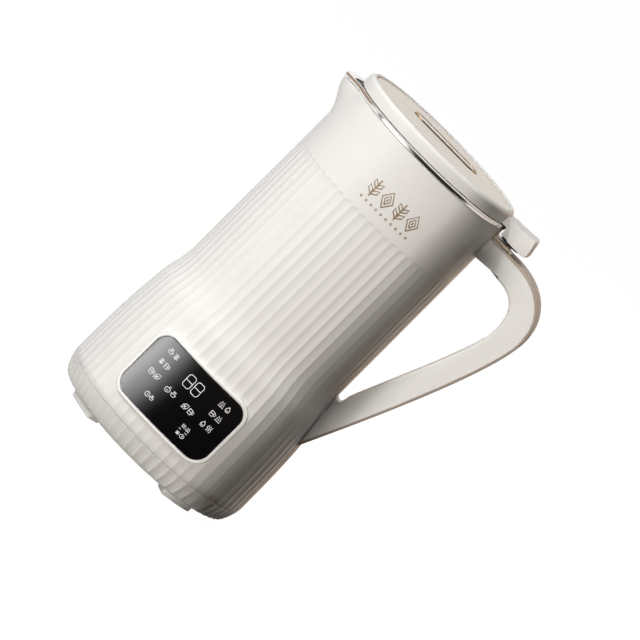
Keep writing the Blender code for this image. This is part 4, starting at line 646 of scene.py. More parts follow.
class Piece:
    """A mesh on the bench, shaped with the operators that a modeller uses by hand."""

    seed_size = 0.01

    def __init__(self, name: str, spots: Sequence[Spot], form: Form = Form.SHEET) -> None:
        """Lay a run of points.

        Args:
            name: The piece's name.
            spots: Its points in order.
            form: Whether the run stays open, closes, or is filled.
        """
        self.thing = added(bpy.ops.mesh.primitive_plane_add, size=self.seed_size)
        self.rename(name)
        with self.editing():
            bpy.ops.mesh.merge(type="CENTER")
            bpy.ops.transform.translate(value=spots[0])
            for start, end in zip(spots, spots[1:]):
                step = Vector(end) - Vector(start)
                bpy.ops.mesh.extrude_vertices_move(TRANSFORM_OT_translate={"value": step})
            if form is not Form.LINE:
                bpy.ops.mesh.select_all(action="SELECT")
                bpy.ops.mesh.edge_face_add()
            if form is Form.LOOP:
                bpy.ops.mesh.delete(type="ONLY_FACE")

    def rename(self, name: str) -> "Piece":
        """Name the object and its mesh alike."""
        self.thing.name = self.thing.data.name = name
        return self

    def hold(self) -> None:
        """Make this piece the only one selected."""
        bpy.ops.object.select_all(action="DESELECT")
        self.thing.select_set(True)
        bpy.context.view_layer.objects.active = self.thing

    @contextmanager
    def editing(self, chosen: Pick | PickEdge | None = None, edges: bool = False) -> Iterator[None]:
        """Edit mode with the points or edges that a test of their ends picks, or with all.

        Args:
            chosen: A test of a point or of an edge's two ends. Without one, all are picked.
            edges: Whether the test is of edges.
        """
        self.hold()
        bpy.ops.object.mode_set(mode="EDIT")
        bpy.ops.mesh.select_mode(type="EDGE" if edges else "VERT")
        bpy.ops.mesh.select_all(action="DESELECT" if chosen else "SELECT")
        if chosen:
            mesh = bmesh.from_edit_mesh(self.thing.data)
            for part in mesh.edges if edges else mesh.verts:
                ends = part.verts if edges else (part,)
                part.select_set(chosen(*[vert.co for vert in ends]))
            mesh.select_flush_mode()
            bmesh.update_edit_mesh(self.thing.data)
        yield
        bpy.ops.object.mode_set(mode="OBJECT")

    def modify(self, kind: str, **settings: object) -> "Piece":
        """Add a modifier with its settings and apply it at once.

        Args:
            kind: The modifier's type.
            settings: Its settings.

        Returns:
            The piece itself.
        """
        self.hold()
        modifier = self.thing.modifiers.new(kind.lower(), kind)
        for setting, value in settings.items():
            setattr(modifier, setting, value)
        bpy.ops.object.modifier_apply(modifier=modifier.name)
        return self

    def turn(self, steps: int = ROUND_STEPS, sweep: float = tau) -> "Piece":
        """Turn the profile round the upright axis.

        Args:
            steps: Chords of the turn.
            sweep: Its angle in radians.

        Returns:
            The piece itself.
        """
        settings = {"axis": "Z", "angle": sweep, "steps": steps, "render_steps": steps}
        self.modify("SCREW", use_merge_vertices=True, merge_threshold=WELD, **settings)
        return self.face_outward()

    def extrude(self, way: Spot) -> "Piece":
        """Draw the sheet out into a solid.

        Args:
            way: How far along each axis.

        Returns:
            The piece itself.
        """
        with self.editing():
            bpy.ops.mesh.extrude_region_move(TRANSFORM_OT_translate={"value": way})
        return self.face_outward()

    def face_outward(self) -> "Piece":
        """Turn every face's normal outward.

        Returns:
            The piece itself.
        """
        with self.editing():
            bpy.ops.mesh.normals_make_consistent(inside=False)
        return self

    def scale(self, factors: Spot, chosen: Pick | None = None) -> "Piece":
        """Scale what a test picks about the origin.

        Args:
            factors: Scale along each axis.
            chosen: A test of a point. Without one, all are picked.

        Returns:
            The piece itself.
        """
        with self.editing(chosen):
            bpy.ops.transform.resize(value=factors, center_override=(0, 0, 0))
        return self

    def slice(self, places: Sequence[float]) -> "Piece":
        """Add a line of edges at each place along X.

        Args:
            places: Where the lines go.

        Returns:
            The piece itself.
        """
        with self.editing():
            for place in places:
                bpy.ops.mesh.select_all(action="SELECT")
                bpy.ops.mesh.bisect(plane_co=(place, 0, 0), plane_no=(1, 0, 0))
        return self

    def soften(self, width: float, steps: int, chosen: PickEdge) -> "Piece":
        """Bevel the edges whose two ends pass a test.

        Args:
            width: The bevel's width.
            steps: Its rows of faces.
            chosen: A test of an edge's two ends.

        Returns:
            The piece itself.
        """
        with self.editing(chosen, edges=True):
            bpy.ops.mesh.bevel(offset=width, segments=steps, profile=0.5, affect="EDGES")
        return self

    def round_off(self, width: float, steps: int = 3, angle: float = 40) -> "Piece":
        """Bevel every edge that turns more than an angle."""
        settings = {"limit_method": "ANGLE", "angle_limit": radians(angle), "harden_normals": False}
        return self.modify("BEVEL", width=width, segments=steps, **settings)

    def ring_of(self, count: int) -> "Piece":
        """Repeat a sector round the axis and weld it to its neighbours.

        Args:
            count: How many sectors make the ring.

        Returns:
            The piece itself.
        """
        guide = added(bpy.ops.object.empty_add, rotation=(0, 0, tau / count))
        bpy.context.view_layer.update()
        settings = {"use_relative_offset": False, "use_object_offset": True, "offset_object": guide}
        settings |= {"use_merge_vertices": True, "use_merge_vertices_cap": True, "merge_threshold": WELD * 4}
        self.modify("ARRAY", count=count, **settings)
        bpy.data.objects.remove(guide)
        return self

    def meet(self, *tools: "Piece", how: Blend = Blend.CUT) -> "Piece":
        """Cut by, join with or keep inside each tool body in turn.

        Args:
            tools: Tool bodies, which are used up.
            how: What they do to the piece.

        Returns:
            The piece itself.
        """
        for tool in tools:
            self.modify("BOOLEAN", operation=how.value, solver="EXACT", object=tool.thing)
            bpy.data.objects.remove(tool.thing)
        return self

    def reshape(self, rule: Callable[[Vector], Vector]) -> "Piece":
        """Move each point by a rule, for curved forms that no operator presses.

        Args:
            rule: A point's new place for its old one.

        Returns:
            The piece itself.
        """
        for vert in self.thing.data.vertices:
            vert.co = rule(vert.co)
        return self

    def put(self, place: Sequence[float], turn: Spot = (0, 0, 0)) -> "Piece":
        """Turn and move the piece, and keep that in its mesh.

        Args:
            place: How far it moves.
            turn: Its angles about the axes, in radians.

        Returns:
            The piece itself.
        """
        self.hold()
        self.thing.rotation_euler = turn
        self.thing.location = place
        bpy.ops.object.transform_apply(location=True, rotation=True, scale=True)
        return self

    def spin(self, angle: float) -> "Piece":
        """Turn the piece about the upright axis, in radians."""
        return self.put((0, 0, 0), (0, 0, angle))

    def copy(self, name: str) -> "Piece":
        """A second piece with a mesh of its own.

        Args:
            name: The copy's name.

        Returns:
            The copy.
        """
        twin = object.__new__(Piece)
        twin.thing = self.thing.copy()
        twin.thing.data = self.thing.data.copy()
        bpy.context.scene.collection.objects.link(twin.thing)
        return twin.rename(name)

    def dress(
        self, body: Body, slot: Slot, *nodes: str, crease: float = 35, finish: Finish | None = None
    ) -> None:
        """Clean, shade, finish and mount the piece.

        Args:
            body: The body that it rides on.
            slot: The record's slot for its finish.
            nodes: The frame's nodes that it stands for.
            crease: The angle past which an edge stays sharp, in degrees.
            finish: A finish other than the slot's own.
        """
        with self.editing():
            bpy.ops.mesh.remove_doubles(threshold=WELD)
            bpy.ops.mesh.dissolve_degenerate(threshold=WELD)
            bpy.ops.mesh.normals_make_consistent(inside=False)
        self.put(AXIS)
        bpy.ops.object.shade_smooth_by_angle(angle=radians(crease))
        mesh = self.thing.data
        mesh.materials.clear()
        mesh.materials.append((finish or FINISHES[slot]).material(self.thing.name))
        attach(self.thing, body.value)
        if nodes:
            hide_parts(*nodes)
        LOG.info("%s: %d faces on %s", self.thing.name, len(mesh.polygons), body.value)


def joined(pieces: Sequence[Piece]) -> Piece:
    """Pieces as one mesh, in the first one.

    Args:
        pieces: Pieces that are used up, apart from the first.

    Returns:
        The first, with all faces.
    """
    if len(pieces) > 1:
        pieces[0].hold()
        for piece in pieces[1:]:
            piece.thing.select_set(True)
        bpy.ops.object.join()
    return pieces[0]


def around(tool: Piece, turns: Sequence[float]) -> Piece:
    """Copies of a tool body turned about the upright axis by some degrees, as one piece.

    Args:
        tool: The body to copy, which is used up.
        turns: The copies' angles.

    Returns:
        The copies as one piece.
    """
    copies = [tool.copy("tool").spin(radians(turn)) for turn in turns]
    bpy.data.objects.remove(tool.thing)
    return joined(copies)


def prism(name: str, run: Run, low: float, high: float) -> Piece:
    """An upright solid over a flat outline, between two heights."""
    return Piece(name, level(run, low)).extrude((0, 0, high - low))


def slab(name: str, run: Run, near: float, far: float) -> Piece:
    """A solid whose outline faces -Y, between two places along Y."""
    return Piece(name, upright(run, near)).extrude((0, far - near, 0))


def lathe(name: str, run: Run, steps: int = ROUND_STEPS) -> Piece:
    """A turned solid from a closed profile of radius and height, or one that starts and ends at the axis."""
    form = Form.LINE if run[0][0] == 0 and run[-1][0] == 0 else Form.LOOP
    return Piece(name, upright(run), form).turn(steps)


def bore(radius: float, near: float, far: float, height: float) -> Piece:
    """A round tool body along X at a height."""
    run = [(0, near), (radius, near), (radius, far), (0, far)]
    return lathe("bore", run, BORE_STEPS).put((0, 0, height), (0, pi / 2, 0))


def disc(radius: float) -> Run:
    """Outline of a circle."""
    return [on_circle(radius, FULL_TURN_DEG * step / DISC_STEPS) for step in range(DISC_STEPS)]


@dataclass(frozen=True)
class Wall:
    """The jug's outer wall: its crests' radius at each height, its flutes and its beak."""

    foot_radius: float = (BASE_HIGH.x - BASE_LOW.x) / 2
    waist_radius: float = 0.0560
    top_radius: float = 0.05535
    thickness: float = 0.0022
    seam: float = SHELL_LOW.z
    waist: float = SHELL_LOW.z + 0.0837
    top: float = SHELL_HIGH.z
    flare_shares: tuple = (
        (0.00, 1.00), (0.27, 0.96), (0.50, 0.84), (0.70, 0.62), (0.80, 0.47), (0.87, 0.26), (0.93, 0.11),
        (1.0, 0.0),
    )
    flare_steps: int = 4
    wall_rings: int = 6
    landing_gaps: tuple = (0, 2, 5)
    flutes: int = 60
    columns: int = 12
    flute_depth: float = 0.00043
    flute_phase: float = -2.3
    corner_deepening: float = 2.6
    flute_end: float = SHELL_LOW.z + 0.1693
    runout: float = 0.0042
    runout_shares: tuple = (0.07, 0.18, 0.34, 0.56, 0.80, 1.0, 1.25, 1.6)
    arch: float = 0.0016
    beak_out: float = 0.0084
    beak_drop: float = 0.0015
    beak_start: float = SHELL_HIGH.z - 0.0221
    beak_half_angle: float = radians(28)
    beak_rings: int = 9

    def flare(self) -> Run:
        """The crests' radius and height from the seam to the waist.

        Returns:
            Its points, lowest first.
        """
        tall, out = self.waist - self.seam, self.foot_radius - self.waist_radius
        knots = [(self.waist_radius + out * wide, self.seam + tall * up) for up, wide in self.flare_shares]
        run = smooth_run(knots, self.flare_steps)
        return [(max(radius, self.waist_radius), height) for radius, height in run]

    def profile(self) -> Run:
        """The crests' radius and height from the seam to the top edge.

        Returns:
            Its points, lowest first.
        """
        rise = self.flute_end - self.waist
        heights = [self.waist + rise * step / self.wall_rings for step in range(1, self.wall_rings)]
        heights += [self.flute_end - self.runout * share for share in reversed(self.runout_shares)]
        heights += [self.flute_end + gaps * CLEARANCE for gaps in self.landing_gaps]
        rise = self.top - self.beak_start
        heights += [self.beak_start + rise * step / self.beak_rings for step in range(self.beak_rings + 1)]
        return self.flare() + [(self.radius(height), height) for height in heights]

    def radius(self, height: float) -> float:
        """The crests' radius at a height.

        Args:
            height: A height on the jug.

        Returns:
            The radius there.
        """
        if height >= self.waist:
            share = (height - self.waist) / (self.top - self.waist)
            return self.waist_radius + (self.top_radius - self.waist_radius) * share
        run = self.flare()
        for (wide, low), (narrow, high) in zip(run, run[1:]):
            if height <= high:
                return wide + (narrow - wide) * max(height - low, 0) / (high - low)
        return self.waist_radius

    def beak(self, spot: Vector) -> Vector:
        """Place of a turned wall's point once the beak is pressed out.

        Args:
            spot: The point on the turned wall.

        Returns:
            Its place with the beak.
        """
        rise = min(max((spot.z - self.beak_start) / (self.top - self.beak_start), 0), 1)
        off = abs(atan2(spot.y, -spot.x)) / self.beak_half_angle
        flat = hypot(spot.x, spot.y)
        if off >= 1 or not flat:
            return spot
        share = rise * rise * (3 - 2 * rise) * cos(off * pi / 2) ** 2
        wider = 1 + self.beak_out * share / flat
        return Vector((spot.x * wider, spot.y * wider, spot.z - self.beak_drop * share))

    def fluted(self, profile: Piece, fade: Callable[[float, float], float], bands: Run) -> Piece:
        """Turn a profile round and sink its flutes between the crests, class of columns by class.

        Args:
            profile: The wall's profile of radius and height.
            fade: Share of the depth at a height, for a column's distance from the flute's middle.
            bands: Lowest and highest height of each band that sinks alike.

        Returns:
            The whole wall.
        """
        sector = profile.turn(self.columns, tau / self.flutes)
        least = self.waist_radius - self.thickness / 2
        pitch = tau / self.flutes / self.columns
        for column in range(1, self.columns // 2 + 1):
            off = abs(2 * column / self.columns - 1)
            for low, high in bands:
                share = (1 - off * off) * fade((low + high) / 2, off)
                factor = 1 - self.flute_depth * share / self.waist_radius

                def chosen(spot: Vector) -> bool:
                    """True for this class of columns in this band of the outer wall.

                    Args:
                        spot: A point of the sector.

                    Returns:
                        Whether it sinks.
                    """
                    place = round(abs(atan2(spot.y, spot.x)) / pitch)
                    outer = hypot(spot.x, spot.y) > least and low < spot.z < high
                    return outer and place in (column, self.columns - column)

                if share > 0:
                    sector.scale((factor, factor, 1), chosen)
        return sector.ring_of(self.flutes).spin(radians(self.flute_phase))

    def envelope(self, gap: float) -> Piece:
        """A smooth body just outside the crests.

        Args:
            gap: How far it stands off the crests.

        Returns:
            The body.
        """
        run = [(radius + gap, height) for radius, height in self.flare()]
        run.append((self.top_radius + gap, self.top))
        low, high = self.seam - OVERRUN, self.top + OVERRUN
        run = [(0, low), (run[0][0], low)] + run + [(run[-1][0], high), (0, high)]
        return lathe("envelope", run, FINE_STEPS)


WALL = Wall()


@dataclass(frozen=True)
class Casing:
    """The jug's outer shell, base cover and feet."""

    seam_edge: float = 0.00025
    top_edge: float = 0.0004
    lip_steps: int = 3
    inner_rings: int = 10
    screw_circle: float = 0.0500
    screw_angles: tuple = (25, 155, 205, 335)
    screw_radius: float = 0.0018
    boss_radius: float = 0.0038
    boss_low: float = 0.0203
    boss_top: float = 0.0733
    rib: float = 0.0025
    pilot_top: float = 0.0336
    handle_screws: tuple = (0.2040, 0.0890)
    drill: float = 1
    floor_wall: float = 0.0024
    corner_shares: tuple = ((1.0, 1.0), (0.70, 0.985), (0.40, 0.966), (0.10, 0.936), (0.0, 0.880))
    pillar_radius: float = 0.0052
    pillar_top: float = 0.0200
    recess_radius: float = 0.0035
    recess: float = 0.0060
    vents: int = 8
    vent_inner: float = 0.0120
    vent_length: float = 0.0150
    vent_width: float = 0.0050
    foot_circle: float = 0.0480
    foot_width: float = 0.0100
    foot_spread: float = 26
    foot_edge: float = 0.0010
    foot_steps: int = 14
    corner_steps: int = 5
    corner_start: float = 0.10
    flute_crease: float = 58

    def make_shell(self, panel: "Panel", inlet: "Inlet") -> None:
        """Fluted casing with its beak, the panel's and inlet's windows, bosses and screw holes.

        Args:
            panel: The panel that needs a window.
            inlet: The power inlet that needs one.
        """
        outer = WALL.profile()
        edge, lip = self.seam_edge, self.top_edge
        run = [(outer[0][0] - edge, WALL.seam), (outer[0][0], WALL.seam + edge)] + outer[1:-1]
        run += arc_run((outer[-1][0] - lip, WALL.top - lip), lip, 0, 90, self.lip_steps)
        for step in range(self.inner_rings + 1):
            height = WALL.top + (WALL.seam - WALL.top) * step / self.inner_rings
            run.append((WALL.radius(height) - WALL.thickness, height))
        ends = [WALL.flute_end - WALL.runout * share for share in reversed((0,) + WALL.runout_shares)]
        slack = CLEARANCE / 10
        bands = [(WALL.seam - slack, ends[0] - slack)] + [(end - slack, end + slack) for end in ends]
        shell = WALL.fluted(Piece("outer_shell_form", upright(run), Form.LOOP), self.runout_fade, bands)
        shell.reshape(WALL.beak).meet(*self.boss_bodies(), how=Blend.ADD)
        holes = [panel.window(), inlet.window()]
        near = WALL.waist_radius - 2 * OVERRUN
        holes += [bore(self.screw_radius, near, near + self.drill, height) for height in self.handle_screws]
        pilot = prism("pilot", disc(self.screw_radius), self.boss_low - OVERRUN, self.pilot_top)
        shell.meet(joined(holes), self.at_screws(pilot))
        shell.dress(Body.MACHINE, Slot.SHELL, "outer_shell", crease=self.flute_crease)

    def runout_fade(self, height: float, off: float) -> float:
        """How far the flutes are pressed in near their upper ends.

        Args:
            height: A height on the wall.
            off: A column's distance from its flute's middle, as a share.

        Returns:
            The share of the flutes' depth.
        """
        down = (WALL.flute_end - WALL.arch * off**4 - height) / WALL.runout
        down = min(max(down, 0), 1)
        return sqrt(1 - (1 - down) ** 2)

    def at_screws(self, tool: Piece) -> Piece:
        """A tool body at each of the four base screws."""
        return around(tool.put((self.screw_circle, 0, 0)), self.screw_angles)

    def boss_bodies(self) -> tuple[Piece, Piece]:
        """Posts inside the shell and the webs that tie them to the wall.

        Returns:
            The webs and the posts.
        """
        wall = [(radius - WALL.thickness / 2, height) for radius, height in WALL.flare()]
        wall = [spot for spot in wall if self.boss_low < spot[1] < self.boss_top]
        low, high = ((WALL.radius(end) - WALL.thickness / 2, end) for end in (self.boss_low, self.boss_top))
        run = [(self.screw_circle, self.boss_low), low] + wall + [high, (self.screw_circle, self.boss_top)]
        post = prism("post", disc(self.boss_radius), self.boss_low, self.boss_top)
        return around(slab("rib", run, -self.rib / 2, self.rib / 2), self.screw_angles), self.at_screws(post)

    def make_base(self) -> None:
        """Base cover: fluted ring, floor, screw pillars and air vents."""
        low, top = BASE_LOW.z, BASE_HIGH.z
        seam = WALL.seam - CLEARANCE
        knots = [(WALL.foot_radius * wide, low + (seam - low) * up) for up, wide in self.corner_shares]
        outer = smooth_run(knots, self.corner_steps)
        inner = [(radius - self.floor_wall, height) for radius, height in outer[:1 - self.corner_steps]]
        floor = low + self.floor_wall
        edge = self.seam_edge
        run = [(0, floor), (inner[-1][0] - self.floor_wall, floor)] + inner[::-1]
        run += [(outer[0][0] - edge, seam), (outer[0][0], seam - edge)] + outer[1:] + [(0, low)]
        bands = [(height - WELD, height + WELD) for _, height in outer[1:]]
        bands.append((seam - edge - WELD, seam + WELD))
        cover = WALL.fluted(Piece("base_cover_form", upright(run), Form.LINE), self.corner_fade, bands)
        pillar = prism("pillar", disc(self.pillar_radius), low + self.floor_wall / 2, self.pillar_top)
        cover.meet(self.at_screws(pillar), how=Blend.ADD)
        recess = low + self.recess
        run = [(0, low - OVERRUN), (self.recess_radius, low - OVERRUN), (self.recess_radius, recess)]
        run += [(self.screw_radius, recess), (self.screw_radius, top + OVERRUN), (0, top + OVERRUN)]
        outline = round_rectangle(self.vent_length, self.vent_width, self.vent_width / 2 - CLEARANCE)
        vent = prism("vent", outline, low - OVERRUN, floor + OVERRUN)
        vent.put((self.vent_inner + self.vent_length / 2, 0, 0))
        turns = [FULL_TURN_DEG * number / self.vents for number in range(self.vents)]
        cover.meet(self.at_screws(lathe("recess", run, DISC_STEPS)), around(vent, turns))
        cover.dress(Body.MACHINE, Slot.SHELL, "base_cover", crease=self.flute_crease)

    def corner_fade(self, height: float, off: float) -> float:
        """How far the flutes are pressed in round the base's lower corner."""
        share = (height - BASE_LOW.z) / (WALL.seam - BASE_LOW.z)
        return min(share / self.corner_start, 1) * (1 + WALL.corner_deepening * min(max(1 - share, 0), 1))

    def make_feet(self) -> None:
        """Four curved pads under the floor."""
        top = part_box("foot_left_front")[1].z
        half = self.foot_spread / 2
        inner, outer = (self.foot_circle + side * self.foot_width / 2 for side in (-1, 1))
        run = arc_run((0, 0), outer, -half, half, self.foot_steps)
        run += arc_run((0, 0), inner, half, -half, self.foot_steps)
        for number, name in enumerate(("right_rear", "left_rear", "left_front", "right_front")):
            pad = prism(f"foot_{name}_form", run, 0, top).spin(tau * (number + 0.5) / 4)
            pad.round_off(self.foot_edge).dress(Body.MACHINE, Slot.FOOT, f"foot_{name}")


class Motif(Enum):
    """Plain pictograms and ornaments: strokes of knots, in hundredths of their own square."""

    BOWL = "0,52 100,52 | 6,50 22,10 78,10 94,50 | 30,70 30,98 | 50,68 50,100 | 70,70 70,98"
    GRAIN = "50,0 50,100 | 10,85 50,62 90,85 | 10,52 50,30 90,52 | 10,20 90,20"
    DROP = "50,100 15,45 20,12 50,0 80,12 85,45 50,100 | 32,35 50,20 68,35"
    CUP = "8,85 8,5 68,5 68,85 8,85 | 68,70 98,70 98,30 68,30 | 8,46 68,46"
    LEAF = "2,2 8,60 42,94 98,98 94,42 60,8 2,2 70,70 | 34,34 34,66 | 34,34 66,34"
    CLOCK = "30,0 0,30 0,70 30,100 70,100 100,70 100,30 70,0 30,0 | 50,80 50,45 76,45"
    STEAM = "15,0 30,30 10,65 25,100 | 48,0 63,30 43,65 58,100 | 81,0 96,30 76,65 91,100"
    FRUIT = "30,0 2,30 10,65 50,70 90,65 98,30 70,0 30,0 | 50,70 55,95 85,100 | 30,32 70,32"
    HEAT = "10,30 30,95 50,55 70,100 90,30 | 0,6 100,6 | 35,30 50,42 65,30"
    DIGIT = "20,0 80,0 100,12 100,88 80,100 20,100 0,88 0,12 20,0 | 4,50 96,50"
    RULE = "0,50 100,50"
    SPRIG = (
        "50,0 50,100 | 50,12 12,30 8,52 42,36 50,20 | 50,12 88,30 92,52 58,36 50,20 | "
        "50,50 16,66 14,86 44,72 50,58 | 50,50 84,66 86,86 56,72 50,58"
    )
    DIAMOND = "50,2 4,50 50,98 96,50 50,2 | 50,24 27,50 50,76 73,50 50,24 | 50,42 50,58"


def strokes(name: str, motif: Motif, low: Pair, size: Pair, thick: float) -> Piece:
    """A motif as flattened wires in the plane across Y.

    Args:
        name: The piece's name.
        motif: What is drawn.
        low: Its lower left corner.
        size: Its width and height.
        thick: The wires' width.

    Returns:
        The wires as one mesh, their middle at Y zero.
    """
    wires = []
    for stroke in motif.value.split(" | "):
        knots = [[int(share) / MOTIF_GRID for share in knot.split(",")] for knot in stroke.split()]
        run = [(low[0] + size[0] * across, low[1] + size[1] * up) for across, up in knots]
        wire = Piece(name, upright(run), Form.LINE)
        wire.hold()
        bpy.ops.object.convert(target="CURVE")
        curve = bpy.context.object.data
        curve.bevel_depth, curve.bevel_resolution, curve.use_fill_caps = thick / 2, 1, True
        bpy.ops.object.convert(target="MESH")
        wire.thing = bpy.context.object
        wires.append(wire)
    return joined(wires)


@dataclass(frozen=True)
class Ornament:
    """Thin gold band of plain leaf and diamond motifs on the jug's smooth collar."""

    start: float = -10.5
    sweep: float = 38.0
    low: float = 0.1937
    tall: float = 0.0112
    wire: float = 0.00086
    fine_wire: float = 0.0003
    motifs: tuple = (Motif.SPRIG, Motif.DIAMOND, Motif.SPRIG, Motif.DIAMOND)
    fill: float = 0.86
    beads_low: float = 0.1904
    bead: float = 0.0017
    beads: int = 10
    relief: float = 0.35

    def make(self) -> None:
        """Lay the band out flat, then wrap it round the wall."""
        length = radians(self.sweep) * WALL.waist_radius
        pitch = length / len(self.motifs)
        parts = []
        for number, motif in enumerate(self.motifs):
            corner = (pitch * (number + (1 - self.fill) / 2), self.low)
            parts.append(strokes("motif", motif, corner, (pitch * self.fill, self.tall), self.wire))
        pitch = length / self.beads
        for number in range(self.beads):
            corner = (pitch * (number + 0.5) - self.bead / 2, self.beads_low)
            parts.append(strokes("bead", Motif.DIAMOND, corner, (self.bead, self.bead), self.fine_wire))
        band = joined(parts).rename("collar_ornament")
        band.scale((1, self.relief, 1)).reshape(self.wrap)
        band.dress(Body.MACHINE, Slot.GOLD, finish=GOLD_INK)

    def wrap(self, spot: Vector) -> Vector:
        """Place of a flat band's point on the wall.

        Args:
            spot: A point of the flat band.

        Returns:
            Its place on the wall.
        """
        angle = radians(self.start) + spot.x / WALL.waist_radius
        radius = WALL.radius(spot.z) - spot.y
        return Vector((radius * sin(angle), -radius * cos(angle), spot.z))


@dataclass(frozen=True)
class Label:
    """One printed legend of the panel: its middle in shares of the glass, and its motifs."""

    across: float
    down: float
    motifs: tuple[Motif, ...]
    size: Pair = (0.0034, 0.0035)
    gap: float = 0.0008
    wire: float = 0.00034


LABELS = (
    Label(0.185, 0.160, (Motif.BOWL, Motif.GRAIN)),
    Label(0.185, 0.340, (Motif.GRAIN, Motif.CUP)),
    Label(0.185, 0.530, (Motif.CUP, Motif.LEAF)),
    Label(0.493, 0.260, (Motif.DIGIT, Motif.DIGIT), (0.0047, 0.0076), 0.0014, 0.00040),
    Label(0.807, 0.168, (Motif.HEAT, Motif.DROP)),
    Label(0.807, 0.345, (Motif.CUP, Motif.HEAT)),
    Label(0.807, 0.530, (Motif.DROP, Motif.STEAM)),
    Label(0.392, 0.534, (Motif.FRUIT, Motif.BOWL)),
    Label(0.600, 0.534, (Motif.LEAF, Motif.CUP)),
    Label(0.289, 0.780, (Motif.CLOCK, Motif.BOWL), (0.0026, 0.0028), 0.0006),
    Label(0.700, 0.735, (Motif.STEAM, Motif.HEAT), (0.0025, 0.0021), 0.0005, 0.0003),
    Label(0.700, 0.795, (Motif.RULE,), (0.0058, 0.0004), 0.0, 0.0003),
    Label(0.700, 0.855, (Motif.GRAIN, Motif.CLOCK), (0.0025, 0.0021), 0.0005, 0.0003),
)


@dataclass(frozen=True)
class Panel:
    """Touch panel: a curved frame and its black glass, leaning back with the wall."""

    height: float = SHELL_LOW.z + 0.0314
    across: float = 0.0006
    width: float = 0.0630
    tall: float = 0.0399
    corner: float = 0.0083
    curve: float = 0.0720
    proud: float = 0.0011
    rim: float = 0.0019
    depth: float = 0.0065
    glass: float = 0.0015
    sink: float = 0.0003
    ledge: float = 0.0022
    slices: int = 32
    outer_edge: float = 0.0009
    inner_edge: float = 0.0004
    glass_edge: float = 0.00035
    outer_steps: int = 4
    edge_steps: int = 3
    print_share: float = 0.35
    print_shift: Pair = (0.0006, 0.0004)

    @property
    def lean(self) -> float:
        """Angle by which the panel leans back."""
        half = self.tall / 2
        return atan2(WALL.radius(self.height - half) - WALL.radius(self.height + half), self.tall)

    def outline(self, grown: float, corner: float) -> Run:
        """The glass's outline, grown all round."""
        return round_rectangle(self.width + 2 * grown, self.tall + 2 * grown, corner)

    def mount(self, piece: Piece) -> Piece:
        """Lean a piece back and put it at the panel's place."""
        front = WALL.radius(self.height) + self.proud
        return piece.put((self.across, -front, self.height), (-self.lean, 0, 0))

    def sag(self, spot: Vector) -> Vector:
        """Bend a flat piece's point to the panel's curve."""
        return Vector((spot.x, spot.y + self.curve - sqrt(self.curve**2 - spot.x**2), spot.z))

    def bend(self, piece: Piece, half_width: float) -> Piece:
        """Slice a flat piece and bend it to the panel's curve.

        Args:
            piece: The flat piece.
            half_width: Half its width.

        Returns:
            The piece in its place.
        """
        step = 2 * half_width / self.slices
        piece.slice([-half_width + step * number for number in range(1, self.slices)])
        return self.mount(piece.reshape(self.sag))

    def window(self) -> Piece:
        """The hole in the shell that the frame sits in."""
        outline = self.outline(self.rim + CLEARANCE * 7 / 6, self.corner + self.rim)
        return self.mount(slab("window", outline, -OVERRUN, WALL.foot_radius / 2))

    def make_frame(self) -> None:
        """Frame with its glass pocket and the opening behind."""
        outline = self.outline(self.rim + CLEARANCE, self.corner + self.rim)
        bezel = slab("panel_bezel_form", outline, 0, self.depth)
        bezel.soften(self.outer_edge, self.outer_steps, lambda a, b: a.y < WELD and b.y < WELD)
        pocket = self.outline(CLEARANCE, self.corner)
        bezel.meet(slab("pocket", pocket, -OVERRUN, self.sink + self.glass + CLEARANCE))
        reach = self.width / 2 + 2 * CLEARANCE, self.tall / 2 + 2 * CLEARANCE

        def inner(a: Vector, b: Vector) -> bool:
            """True for an edge round the pocket's mouth."""
            flat = abs(a.y) < WELD and abs(b.y) < WELD
            return flat and all(abs(v.x) < reach[0] and abs(v.z) < reach[1] for v in (a, b))

        bezel.soften(self.inner_edge, self.edge_steps, inner)
        hole = self.outline(-self.ledge, self.corner - self.ledge)
        bezel.meet(slab("opening", hole, -OVERRUN, self.depth + OVERRUN))
        self.bend(bezel, self.width / 2 + self.rim + CLEARANCE)
        # The frame's paler tone is painted light.
        bezel.dress(Body.MACHINE, Slot.SHELL, "panel_bezel", finish=BEZEL_PAINTED_LIGHT)

    def make_glass(self) -> None:
        """Black glass, sunk a little into its frame."""
        pane = slab("panel_glass_form", self.outline(0, self.corner), self.sink, self.sink + self.glass)
        pane.soften(self.glass_edge, self.edge_steps, lambda a, b: max(a.y, b.y) < self.sink + WELD)
        self.bend(pane, self.width / 2)
        pane.dress(Body.MACHINE, Slot.GLASS, "panel_glass")

    def make_legends(self) -> None:
        """White pictograms and digits printed on the glass."""
        parts = []
        for label in LABELS:
            count = len(label.motifs)
            width = count * label.size[0] + (count - 1) * label.gap
            left = (label.across - 0.5) * self.width - width / 2 + self.print_shift[0]
            low = (0.5 - label.down) * self.tall - label.size[1] / 2 + self.print_shift[1]
            for number, motif in enumerate(label.motifs):
                corner = (left + number * (label.size[0] + label.gap), low)
                parts.append(strokes("print", motif, corner, label.size, label.wire))
        ink = joined(parts).rename("panel_legends").scale((1, self.print_share, 1))
        self.mount(ink.put((0, self.sink, 0)).reshape(self.sag))
        ink.dress(Body.MACHINE, Slot.GLASS, finish=Printed())


